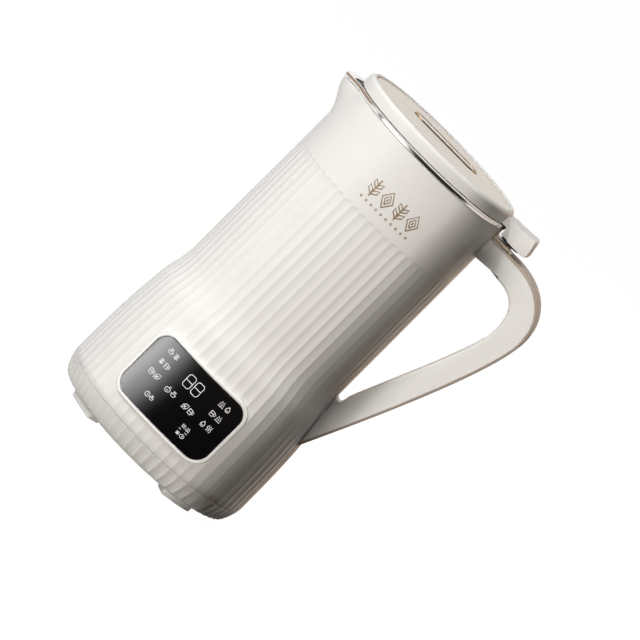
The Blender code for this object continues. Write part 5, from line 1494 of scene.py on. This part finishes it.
@dataclass(frozen=True)
class Cup:
    """Drawn steel cup with a rolled rim that runs out over the beak."""

    radius: float = 0.0501
    wall: float = 0.0008
    floor: float = 0.0970
    floor_wall: float = 0.0010
    corner: float = 0.0018
    bore: float = 0.0100
    rim_radius: float = 0.0560
    rim_thick: float = 0.0025
    rim_round_share: float = 0.42
    corner_steps: int = 4
    rim_steps: tuple = (3, 5, 4)

    def make(self) -> None:
        """Turn the cup and press the beak into its rim."""
        outer = self.radius + self.wall
        low = self.floor - self.floor_wall
        rim = WALL.top + CLEARANCE
        top = rim + self.rim_thick
        round_rim = self.rim_thick * self.rim_round_share
        rise = WALL.top - WALL.beak_start
        rings = [WALL.beak_start + rise * step / WALL.beak_rings for step in range(WALL.beak_rings)]
        under, edge, mouth = self.rim_steps
        centre = (outer - self.corner, low + self.corner)
        run = [(self.bore, low)] + arc_run(centre, self.corner, -90, 0, self.corner_steps)
        run += [(outer, height) for height in rings] + [(outer, rim)]
        half = round_rim / 2
        run += arc_run((self.rim_radius - half, rim + half), half, -90, 0, under)
        run += arc_run((self.rim_radius - round_rim, top - round_rim), round_rim, 0, 90, edge)
        run += arc_run((self.radius + self.wall, top - self.wall), self.wall, 90, 180, mouth)
        run += [(self.radius, height) for height in reversed(rings)]
        centre = (self.radius - self.corner, self.floor + self.corner)
        run += arc_run(centre, self.corner, 0, -90, self.corner_steps) + [(self.bore, self.floor)]
        lathe("inner_cup_form", run, FINE_STEPS).reshape(WALL.beak).dress(Body.MACHINE, Slot.CUP, "inner_cup")


@dataclass(frozen=True)
class Handle:
    """The handle's body and the cover along its outer edge."""

    width: float = 0.0220
    edge: float = 0.0016
    cover_edge: float = 0.0011
    edge_steps: int = 4
    top: float = 0.2197
    root: float = 0.2057
    shoulder: float = 0.0720
    reach: Pair = (0.1065, 0.1900)
    foot: float = 0.0672
    outer_pulls: tuple = (0.62, 0.60, 0.163, 0.40, 0.324)
    inner_shoulder: float = 0.0723
    inner_reach: Pair = (0.0908, 0.1855)
    inner_foot: Pair = (0.0605, 0.1025)
    inner_pulls: tuple = (0.714, 0.636, 0.163, 0.38, 0.337)
    crotch: float = 0.0020
    crotch_out_share: float = 1.1
    crotch_arc: Pair = (-170, -10)
    crotch_steps: int = 10
    cover_wall: float = 0.0014
    wall: float = 0.0026
    steps: int = 28
    pocket_low: float = 0.2118
    pocket_half: Pair = (0.0047, 0.0068)
    pocket_out: float = 0.0640
    web: tuple = ((0.0500, 0.1045), (0.0617, 0.1045), (0.0603, 0.1015), (0.0566, 0.0865), (0.0500, 0.0865))
    web_step: float = 0.0060
    bore: float = 0.0018
    bores: tuple = ((0.2040, 0.0648), (0.0890, 0.0661))
    hollow_span: Pair = (0.22, 0.66)

    def curve(self, shoulder: Pair, reach: Pair, foot: Pair, pulls: tuple) -> Run:
        """Two cubic curves from shoulder to reach to foot.

        Args:
            shoulder: Where the edge leaves the top.
            reach: Where it stands furthest out.
            foot: Where it comes back to the jug.
            pulls: How far each curve's inner knots are drawn, as shares.

        Returns:
            The points, shoulder first.
        """
        (sx, sz), (rx, rz), (tx, tz) = shoulder, reach, foot
        over = ((sx, sz), (sx + pulls[0] * (rx - sx), sz), (rx, rz + pulls[1] * (sz - rz)), (rx, rz))
        last = (tx + pulls[3] * (rx - tx), tz + pulls[4] * (rz - tz))
        down = ((rx, rz), (rx, rz - pulls[2] * (rz - tz)), last, (tx, tz))
        return bezier_run(over, self.steps) + bezier_run(down, self.steps)[1:]

    def outer_run(self) -> Run:
        """The outer edge, from inside the wall at the top to inside it at the foot.

        Returns:
            Its points, the top first.
        """
        foot = (WALL.radius(self.foot) + 2 * CLEARANCE, self.foot)
        run = self.curve((self.shoulder, self.top), self.reach, foot, self.outer_pulls)
        way = Vector(run[-1]) - Vector(run[-2])
        beyond = Vector(run[-1]) + way.normalized() * 3 * OVERRUN
        return [(WALL.top_radius - WALL.thickness, self.top)] + run + [(beyond.x, beyond.y)]

    def grip_run(self) -> Run:
        """The inner curve, from its foot up to its shoulder."""
        shoulder = (self.inner_shoulder, self.root)
        return self.curve(shoulder, self.inner_reach, self.inner_foot, self.inner_pulls)[::-1]

    def inner_run(self) -> Run:
        """The inner edge, from the rounded crotch up to inside the wall.

        Returns:
            Its points, the crotch first.
        """
        centre = (WALL.waist_radius + self.crotch * self.crotch_out_share, WALL.waist)
        crotch = arc_run(centre, self.crotch, *self.crotch_arc, self.crotch_steps)
        inside = WALL.top_radius - WALL.thickness
        return [(inside - OVERRUN, crotch[0][1])] + crotch + self.grip_run() + [(inside, self.root)]

    def along(self, run: Run) -> PickEdge:
        """A test for the two side edges that follow a run.

        Args:
            run: The line that the edges follow.

        Returns:
            The test of an edge's two ends.
        """
        half = self.width / 2

        def follows(spot: Vector) -> bool:
            """True for a point of a side face that is on the run."""
            beside = abs(abs(spot.y) - half) < WELD
            return beside and any(hypot(spot.x - x, spot.z - z) < WELD for x, z in run)

        return lambda a, b: abs(a.y - b.y) < WELD and follows(a) and follows(b)

    def pocket(self) -> Piece:
        """The well under the coupler.

        Returns:
            The tool body.
        """
        long, wide = self.pocket_half
        outline = round_rectangle(2 * long, 2 * wide, CLEARANCE, 2)
        return prism("pocket", outline, self.pocket_low, self.top + OVERRUN).put((self.pocket_out, 0, 0))

    def make_cover(self) -> None:
        """Strip that closes the handle's outer edge."""
        half = self.width / 2
        outer = self.outer_run()
        strip = slab("handle_cover_form", outer + offset_run(outer, self.cover_wall)[::-1], -half, half)
        strip.soften(self.cover_edge, self.edge_steps, self.along(outer))
        strip.meet(WALL.envelope(CLEARANCE), self.pocket())
        # The cover's dark tone is painted shade.
        strip.dress(Body.MACHINE, Slot.HANDLE, "handle_cover", finish=COVER_PAINTED_SHADE)

    def make_body(self) -> None:
        """Grip with its soft inner edges, the channel behind the cover and the screw bores."""
        half = self.width / 2
        seam = offset_run(self.outer_run(), self.cover_wall + CLEARANCE / 3)
        inner = self.inner_run()
        trunk = slab("handle_body_form", seam + inner, -half, half)
        trunk.soften(self.edge, self.edge_steps, self.along(self.grip_run()))
        first, last = (round(len(seam) * share) for share in self.hollow_span)
        least, lowest = seam[first][0], seam[last][1]
        grip = [(x, z) for x, z in offset_run(inner, self.wall) if z > lowest and x > least]
        run = offset_run(seam, -OVERRUN)[first:last + 1] + grip
        hollow = slab("hollow", run, self.wall - half, half - self.wall)
        trunk.meet(WALL.envelope(CLEARANCE), hollow, self.pocket())
        step = self.web_step
        trunk.meet(*[slab("web", list(self.web), side * half - step, side * half + step) for side in (-1, 1)])
        trunk.meet(*[bore(self.bore, 0, tip, height) for height, tip in self.bores])
        trunk.dress(Body.MACHINE, Slot.HANDLE, "handle_body")


@dataclass(frozen=True)
class Lid:
    """Lid cap with its thumb tab, the beige inset and the gold inlay."""

    low: float = 0.2287
    top: float = 0.2364
    radius: float = 0.0538
    rim: float = 0.0035
    edge: float = 0.0024
    inner_edge: float = 0.0006
    turn_steps: tuple = (2, 10, 4)
    skirt: float = 0.0022
    web: float = 0.0020
    recess: float = 0.0022
    inset: float = 0.0010
    inset_edge: float = 0.0002
    inset_steps: int = 160
    inlay_top: float = 0.23632
    inlay_back: float = 0.0090
    inlay_length: float = 0.0470
    inlay_depth: float = 0.0150
    inlay_line: float = 0.0012
    inlay: float = 0.0007
    inlay_steps: int = 20
    tab_start: float = 0.0560
    tab_length: float = 0.0204
    tab_offset_share: float = 0.04
    tab_low: float = 0.2239
    tab_tall: float = 0.0117
    tab_width: float = 0.0240
    tab_edge: float = 0.0010
    tab_arc: int = 40
    tab_shares: tuple = (
        (0.10, 0.870), (0.22, 0.858), (0.35, 0.860), (0.50, 0.872), (0.62, 0.888), (0.73, 0.904),
        (0.82, 0.918), (0.885, 0.920), (0.925, 0.87), (1.0, 0.20), (0.985, 0.08), (0.93, 0.0), (0.37, 0.0),
    )
    tab_web_step: float = 0.0015
    tab_web_drop: float = 0.0004
    tab_web_share: float = 0.55
    tab_web_gap: float = 0.0006

    def spot(self, along: float, up: float) -> Pair:
        """A point of the tab's side view from its shares."""
        out = self.tab_start + self.tab_length * (along - self.tab_offset_share)
        return out, self.tab_low + self.tab_tall * up

    def make_cap(self) -> None:
        """Cap with its raised rim, and the tab that reaches over the coupler."""
        floor = self.top - self.recess
        under = floor - self.web
        inner, skirt = self.radius - self.rim, self.radius - self.skirt
        run = [(0, under), (skirt, under), (skirt, self.low)]
        skirt_turn, outer_turn, inner_turn = self.turn_steps
        run += arc_run((self.radius - CLEARANCE, self.low + CLEARANCE), CLEARANCE, -90, 0, skirt_turn)
        run += arc_run((self.radius - self.edge, self.top - self.edge), self.edge, 0, 90, outer_turn)
        edge = self.inner_edge
        run += arc_run((inner + edge, self.top - edge), edge, 90, 180, inner_turn)
        cap = lathe("lid_cap_form", run + [(inner, floor), (0, floor)], 2 * ROUND_STEPS)
        cap.meet(self.tab_web(skirt), self.tab_block(), how=Blend.ADD).dress(Body.LID, Slot.LID, "lid_cap")

    def tab_block(self) -> Piece:
        """The tab's grip: a short arc of a turned bar, trimmed to the tab's width and softened.

        Returns:
            The grip.
        """
        run = [self.spot(*share) for share in self.tab_shares]
        sweep = radians(self.tab_arc)
        bar = Piece("tab", upright(run), Form.LOOP).turn(self.tab_arc, sweep).spin(-sweep / 2)
        with bar.editing():
            bpy.ops.mesh.edge_face_add()
        far = self.tab_start + self.tab_length + OVERRUN
        sides = round_rectangle(far, self.tab_width, CLEARANCE, 2)
        keep = prism("keep", sides, self.tab_low - OVERRUN, self.top + OVERRUN).put((far / 2, 0, 0))
        return bar.meet(keep, how=Blend.KEEP).round_off(self.tab_edge, angle=30)

    def tab_web(self, skirt: float) -> Piece:
        """The narrower web between cap and tab.

        Args:
            skirt: The radius of the skirt's inside.

        Returns:
            The web.
        """
        high = self.spot(*self.tab_shares[0])[1] - self.tab_web_drop
        end = self.spot(self.tab_web_share, 0)[0]
        bottom = self.tab_low + self.tab_web_drop
        wall = self.tab_start + self.tab_web_gap
        run = [(skirt, high), (end, high), (end, bottom), (wall, bottom)]
        run += [(wall, self.low + CLEARANCE), (skirt, self.low + CLEARANCE)]
        half = self.tab_width / 2 - self.tab_web_step
        return slab("web", run, -half, half)

    def stadium(self, grown: float) -> Run:
        """Outline of the inlay, a bar with half-round ends, grown all round."""
        length, depth = self.inlay_length + 2 * grown, self.inlay_depth + 2 * grown
        return round_rectangle(length, depth, depth / 2 - WELD, self.inlay_steps)

    def make_trim(self) -> None:
        """Beige inset with its island, and the gold line round that."""
        low = self.top - self.recess + CLEARANCE
        top = low + self.inset
        radius, edge = self.radius - self.rim - CLEARANCE, self.inset_edge
        run = [(0, low), (radius, low), (radius, top - edge), (radius - edge, top), (0, top)]
        groove, back = top - self.inlay, (0, self.inlay_back, 0)
        well = prism("groove", self.stadium(CLEARANCE), groove, top + OVERRUN).put(back)
        lathe("lid_inset_form", run, self.inset_steps).meet(well).dress(Body.LID, Slot.INSET, "lid_inset")
        outline = self.stadium(-self.inlay_line - CLEARANCE)
        island = prism("lid_island", outline, groove, self.inlay_top - CLEARANCE)
        island.round_off(edge, 2, SHARP_DEG).put(back).dress(Body.LID, Slot.INSET, finish=CREAM)
        bar = prism("lid_inlay_form", self.stadium(0), groove, self.inlay_top)
        bar.meet(prism("hole", self.stadium(-self.inlay_line), low, self.top + OVERRUN))
        bar.round_off(edge, 2, SHARP_DEG).put(back).dress(Body.LID, Slot.GOLD, "lid_inlay")


@dataclass(frozen=True)
class Coupler:
    """The plug under the tab and the socket on the handle's top."""

    out: float = 0.0640
    plug_radius: float = 0.0066
    plug: Pair = (0.2222, 0.2236)
    plate: Pair = (0.0113, 0.0170)
    plate_shift: float = -0.0037
    plate_low: float = 0.2200
    plate_top: float = 0.2216
    collar: Pair = (0.0088, 0.0130)
    collar_low: float = 0.2171
    plunger: float = 0.0018
    pin: float = 0.0013
    pin_offset: float = 0.0047
    plug_flat_share: float = 0.70
    plug_round_share: float = 0.8
    plug_start: float = -75
    turn_steps: int = 6
    plug_steps: int = 64
    plate_corner: float = 0.0016
    plate_edge: float = 0.0004

    def make_plug(self) -> None:
        """Black pad with a full round edge."""
        low, high = self.plug
        turn = (high - low) * self.plug_round_share
        run = [(0, low), (self.plug_radius * self.plug_flat_share, low)]
        run += arc_run((self.plug_radius - turn, low + turn), turn, self.plug_start, 0, self.turn_steps)
        pad = lathe("coupler_plug_form", run + [(self.plug_radius, high), (0, high)], self.plug_steps)
        pad.put((self.out, 0, 0)).dress(Body.LID, Slot.RUBBER, "coupler_plug")

    def make_socket(self) -> None:
        """Warm plate with a collar, the plunger's guide and two pin holes."""
        outline = round_rectangle(*self.plate, self.plate_corner)
        plate = prism("coupler_socket_form", outline, self.plate_low, self.plate_top)
        plate.round_off(self.plate_edge, 3, SHARP_DEG).put((self.plate_shift, 0, 0))
        collar = round_rectangle(*self.collar, CLEARANCE, 2)
        plate.meet(prism("collar", collar, self.collar_low, self.plate_low + CLEARANCE), how=Blend.ADD)
        holes = []
        for radius, offset in ((self.plunger, 0), (self.pin, self.pin_offset), (self.pin, -self.pin_offset)):
            hole = prism("hole", disc(radius), self.collar_low - OVERRUN, self.plate_top + OVERRUN)
            holes.append(hole.put((0, offset, 0)))
        plate.meet(joined(holes)).put((self.out, 0, 0)).dress(Body.MACHINE, Slot.COUPLER, "coupler_socket")


@dataclass(frozen=True)
class Inlet:
    """Power inlet at the back: a recessed socket with an inner flange."""

    width: float = 0.0280
    tall: float = 0.0210
    corner: float = 0.0030
    wall: float = 0.0020
    recess: float = 0.0190
    flange: float = 0.0025
    flange_back: float = 0.0045
    edge: float = 0.0005
    edge_steps: int = 2

    def span(self) -> Spot:
        """The socket's inner end, its face and its middle height."""
        low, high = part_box("inlet_socket")
        return low.y - AXIS.y, high.y - AXIS.y, (low.z + high.z) / 2

    def outline(self, grown: float, corner: float) -> Run:
        """The socket's outline, grown all round."""
        return round_rectangle(self.width + 2 * grown, self.tall + 2 * grown, corner)

    def window(self) -> Piece:
        """The hole in the shell for the socket.

        Returns:
            The tool body.
        """
        _, face, height = self.span()
        outline = self.outline(CLEARANCE, self.corner)
        return slab("window", outline, face - self.recess / 2, WALL.foot_radius + OVERRUN).put((0, 0, height))

    def make(self) -> None:
        """Socket body with a soft mouth."""
        back, face, height = self.span()
        body = slab("inlet_socket_form", self.outline(0, self.corner), back, face)
        end = face - self.flange_back
        flange = slab("flange", self.outline(self.flange, self.corner), end - self.flange, end)
        body.meet(flange, how=Blend.ADD)
        hollow = self.outline(-self.wall, self.corner - self.wall)
        body.meet(slab("hollow", hollow, face - self.recess, face + OVERRUN))
        body.soften(self.edge, self.edge_steps, lambda a, b: min(a.y, b.y) > face - WELD)
        body.put((0, 0, height)).dress(Body.MACHINE, Slot.RUBBER, "inlet_socket")


INSIDE_FINISHES: dict[Slot, str] = {
    Slot.DARK_STEEL: "base_screw_right_rear base_screw_left_rear base_screw_left_front "
                     "base_screw_right_front handle_screw_upper handle_screw_lower motor_shaft "
                     "upper_bearing lower_bearing stator rotor_core",
    Slot.CAST: "heating_plate heating_element motor_bracket motor_end_cap",
    Slot.BRASS: "temperature_sensor seat_nut seat_bush inlet_line inlet_neutral inlet_earth "
                "coupler_pin_front coupler_pin_rear",
    Slot.CUP: "bearing_seat overflow_probe",
    Slot.BLADE: "blade_spacer blade_lower blade_upper blade_nut",
    Slot.BOARD: "display_board power_board",
    Slot.GREY: "digit_display cup_support cooling_fan",
    Slot.SILICONE: "thermal_fuse lid_liner",
    Slot.RUBBER: "shaft_seal motor_damper_1 motor_damper_2 motor_damper_3 lid_switch lid_seal",
    Slot.FOOT: "lid_switch_plunger",
}


def finish_inside() -> None:
    """Give every node of the frame that still shows the finish of its slot."""
    for slot, names in INSIDE_FINISHES.items():
        material = FINISHES[slot].material(f"{slot.value}_inside")
        for name in names.split():
            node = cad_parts[name]
            node.data.materials.clear()
            node.data.materials.append(material)


def veil(thing: bpy.types.Object, *rays: str) -> None:
    """Keep an object out of sight of some kinds of rays."""
    for ray in rays:
        setattr(thing, f"visible_{ray}", False)


@dataclass(frozen=True)
class Lamp:
    """A soft lamp aimed at the jug: azimuth 0 is the front, and positive is to the right."""

    name: str
    azimuth: float
    elevation: float
    distance: float
    size: Pair
    share: float
    colour: Spot = (1, 1, 1)

    def place(self) -> None:
        """Hang the lamp. A share of one lights a plain face fully at the jug."""
        thing = added(bpy.ops.object.light_add, type="AREA")
        thing.name = self.name
        lamp = thing.data
        lamp.shape = "RECTANGLE"
        lamp.size, lamp.size_y = self.size
        lamp.color = self.colour
        lamp.energy = self.share * pi * pi * self.distance**2
        thing.location = Studio.aim + Studio.way(self.azimuth, self.elevation) * self.distance
        thing.rotation_euler = (Studio.aim - thing.location).to_track_quat("-Z", "Y").to_euler()
        veil(thing, "camera", "glossy")


@dataclass(frozen=True)
class Card:
    """A curved card that stands round the jug between two azimuths and is seen only in gloss."""

    name: str
    radius: float
    start: float
    end: float
    top: float
    tone: Spot
    steps: int = 24
    ground_near: float = 0.075

    def bow(self, radius: float, start: float, end: float) -> Run:
        """An arc about the jug between two azimuths."""
        return arc_run((AXIS.x, AXIS.y), radius, start - 90, end - 90, self.steps)

    def wall(self) -> Piece:
        """The standing card."""
        run = level(self.bow(self.radius, self.start, self.end), 0)
        return Piece("card", run, Form.LINE).extrude((0, 0, self.top))

    def ground(self, height: float) -> Piece:
        """Its floor, from the wall in to just outside the jug."""
        run = self.bow(self.radius, self.start, self.end) + self.bow(self.ground_near, self.end, self.start)
        return Piece("card", level(run, height))

    def light(self, graph: Graph) -> dict:
        """Inputs of the card's Emission node."""
        return {"Color": (*self.tone, 1)}

    def hang(self, shape: Piece) -> None:
        """Light one of the card's pieces and keep it out of sight of the camera and the lamps.

        Args:
            shape: The piece to light.
        """
        material = bpy.data.materials.new(self.name)
        graph = Graph(material)
        graph.show(graph.node("Emission", self.light(graph))[0])
        shape.rename(self.name)
        shape.thing.data.materials.append(material)
        veil(shape.thing, "camera", "diffuse", "shadow", "transmission")


@dataclass(frozen=True)
class GlowCard(Card):
    """A bright card whose light fades from its first end to its second."""

    strength: float = 4.2
    shares: tuple = ((0.0, 1.0), (0.2, 0.95), (0.6, 0.5), (0.85, 0.08), (1.0, 0.0))

    def light(self, graph: Graph) -> dict:
        """Inputs of the card's Emission node.

        Args:
            graph: The material's node tree.

        Returns:
            Inputs of its Emission node.
        """
        parts = graph.node("SeparateXYZ", {0: graph.place(centre=tuple(AXIS))})
        across, ahead = Wire(graph, parts[0]), 0 - Wire(graph, parts[1])
        ends = {1: radians(self.start), 2: radians(self.end)}
        share = graph.node("MapRange", {0: across.math("ARCTAN2", across, ahead), **ends})[0]
        colour = graph.ramp(share, [(spot, (part * self.tone[0],) * 3) for spot, part in self.shares])
        return {"Color": colour, "Strength": self.strength}


class Studio:
    """Pale floor, white surroundings, lamps, cards and the camera."""

    aim = AXIS + Vector((0, 0, 0.1204))
    lamps = (
        Lamp("key", -46, 32, 2.6, (0.195, 0.195), 0.315, (0.94, 0.975, 1.0)),
        Lamp("front_fill", 5, 4, 1.8, (0.15, 0.12), 0.61, (1.0, 0.965, 0.92)),
        Lamp("left_fill", -92, 9, 1.4, (1.0, 1.0), 0.57, (0.97, 0.99, 1.0)),
        Lamp("top", -15, 75, 2.4, (1.1, 1.1), 0.43),
        Lamp("warm_back", 152, 12, 0.9, (0.20, 0.5), 0.55, (1.0, 0.60, 0.34)),
    )
    front_card = Card("dark_card", 1.7, -75, 70, 1.7, (0.036, 0.029, 0.024))
    ground_card = Card("dark_ground", 1.7, -75, 70, 0, (0.018, 0.015, 0.012))
    side_cards = (
        Card("warm_card", 1.4, -152, -92, 1.5, (0.42, 0.33, 0.26), 12),
        Card("side_card", 1.4, 70, 150, 1.5, (0.62, 0.54, 0.46), 12),
    )
    bright_card = GlowCard("bright_card", 1.4, -64, -10, 0.75, (1, 1, 1))
    flag_azimuth = 5
    flag_distance = 0.25
    flag_outline = (
        (0.032, 0), (0.067, 0), (0.064, 0.075), (0.059, 0.11), (0.060, 0.19), (0.060, 0.222),
        (0.046, 0.223), (0.046, 0.27), (0.032, 0.27),
    )
    floor_size = 12.0
    floor_bounce = (0.075, 0.06, 0.05, 1)
    floor_paint = (0.9, 0.9, 0.9, 1)
    floor_paint_share = 0.10
    floor_glow = 1.09
    ambient = 0.034
    ambient_tone = (1.0, 0.80, 0.62, 1)
    white = (1, 1, 1, 1)
    camera_azimuth = 3.4
    camera_distance = 2.822
    camera_height = 0.547
    camera_roll = 45
    lens = 297
    shift = (0.0409, -0.0416)

    @staticmethod
    def way(azimuth: float, elevation: float) -> Vector:
        """Direction from the jug, azimuth 0 towards -Y."""
        flat = cos(radians(elevation))
        return Vector((flat * sin(radians(azimuth)), -flat * cos(radians(azimuth)), sin(radians(elevation))))

    def seen_or_lit(self, graph: Graph, lit: dict, seen: Socket, kind: str) -> None:
        """Show one shader to the camera, in gloss and through glass, and light the jug with another.

        Args:
            graph: The tree of a material or world.
            lit: Inputs of the other shader.
            seen: The shader that is shown.
            kind: The other shader's type.
        """
        path = graph.node("LightPath", {})
        rays = [Wire(graph, path[f"Is {ray} Ray"]) for ray in ("Camera", "Glossy", "Transmission")]
        inputs = {0: rays[0] + rays[1] + rays[2], 1: graph.node(kind, lit)[0], 2: seen}
        graph.show(graph.node("MixShader", inputs)[0])

    def make_floor(self) -> None:
        """White floor that keeps a faint shadow of the jug."""
        floor = added(bpy.ops.mesh.primitive_plane_add, size=self.floor_size)
        floor.name = "floor"
        material = bpy.data.materials.new("floor_paint")
        graph = Graph(material)
        pale = graph.node("BsdfDiffuse", {"Color": self.floor_paint})[0]
        white = graph.node("Emission", {"Color": self.white, "Strength": self.floor_glow})[0]
        shown = graph.node("MixShader", {0: self.floor_paint_share, 1: white, 2: pale})[0]
        self.seen_or_lit(graph, {"Color": self.floor_bounce}, shown, "BsdfDiffuse")
        floor.data.materials.append(material)

    def make_world(self) -> None:
        """White to what sees the background, and dimmer as light on the jug."""
        world = bpy.data.worlds.new("studio")
        bpy.context.scene.world = world
        graph = Graph(world)
        white = graph.node("Background", {"Color": self.white, "Strength": 1.0})[0]
        self.seen_or_lit(graph, {"Color": self.ambient_tone, "Strength": self.ambient}, white, "Background")

    def make_cards(self) -> None:
        """Dark cards at the front, a warm one by the beak, one at the right and a bright one at the left."""
        for card in (self.front_card, *self.side_cards):
            card.hang(card.wall())
        self.ground_card.hang(self.ground_card.ground(CLEARANCE))
        self.bright_card.hang(joined([self.bright_card.wall(), self.bright_card.ground(2 * CLEARANCE)]))

    def make_flag(self) -> None:
        """Narrow flag that keeps the front lamp off the jug's right flank."""
        across = self.way(self.flag_azimuth + 90, 0)
        middle = AXIS + self.way(self.flag_azimuth, 0) * self.flag_distance
        corners = [middle + across * side + Vector((0, 0, up)) for side, up in self.flag_outline]
        flag = Piece("flag", [tuple(corner) for corner in corners]).thing
        veil(flag, "camera", "glossy", "diffuse", "transmission")

    def make_camera(self) -> None:
        """Camera at the photograph's angle, rolled as the photograph is."""
        camera = added(bpy.ops.object.camera_add)
        flat = self.way(self.camera_azimuth, 0) * self.camera_distance
        place = AXIS + flat + Vector((0, 0, self.camera_height))
        look = (self.aim - place).to_track_quat("-Z", "Y").to_matrix().to_4x4()
        roll = Matrix.Rotation(radians(self.camera_roll), 4, "Z")
        camera.matrix_world = Matrix.Translation(place) @ look @ roll
        camera.data.lens = self.lens
        camera.data.shift_x, camera.data.shift_y = self.shift
        bpy.context.scene.camera = camera

    def make(self) -> None:
        """Set the whole studio up."""
        bpy.context.scene.view_settings.view_transform = "Standard"
        for step in (self.make_camera, self.make_floor, self.make_world, self.make_cards, self.make_flag):
            step()
        for lamp in self.lamps:
            lamp.place()


def main() -> None:
    """Build and dress every sub-assembly, light it and note the visual model's size."""
    logging.basicConfig(level=logging.INFO, format="%(name)s %(message)s")
    Studio().make()
    panel, inlet, casing, handle, lid, coupler = Panel(), Inlet(), Casing(), Handle(), Lid(), Coupler()
    casing.make_shell(panel, inlet)
    for step in (
        casing.make_base, casing.make_feet, Ornament().make, panel.make_frame, panel.make_glass,
        panel.make_legends, Cup().make, handle.make_cover, handle.make_body, lid.make_cap, lid.make_trim,
        coupler.make_plug, coupler.make_socket, inlet.make, finish_inside,
    ):
        step()


if __name__ == "__main__":
    main()
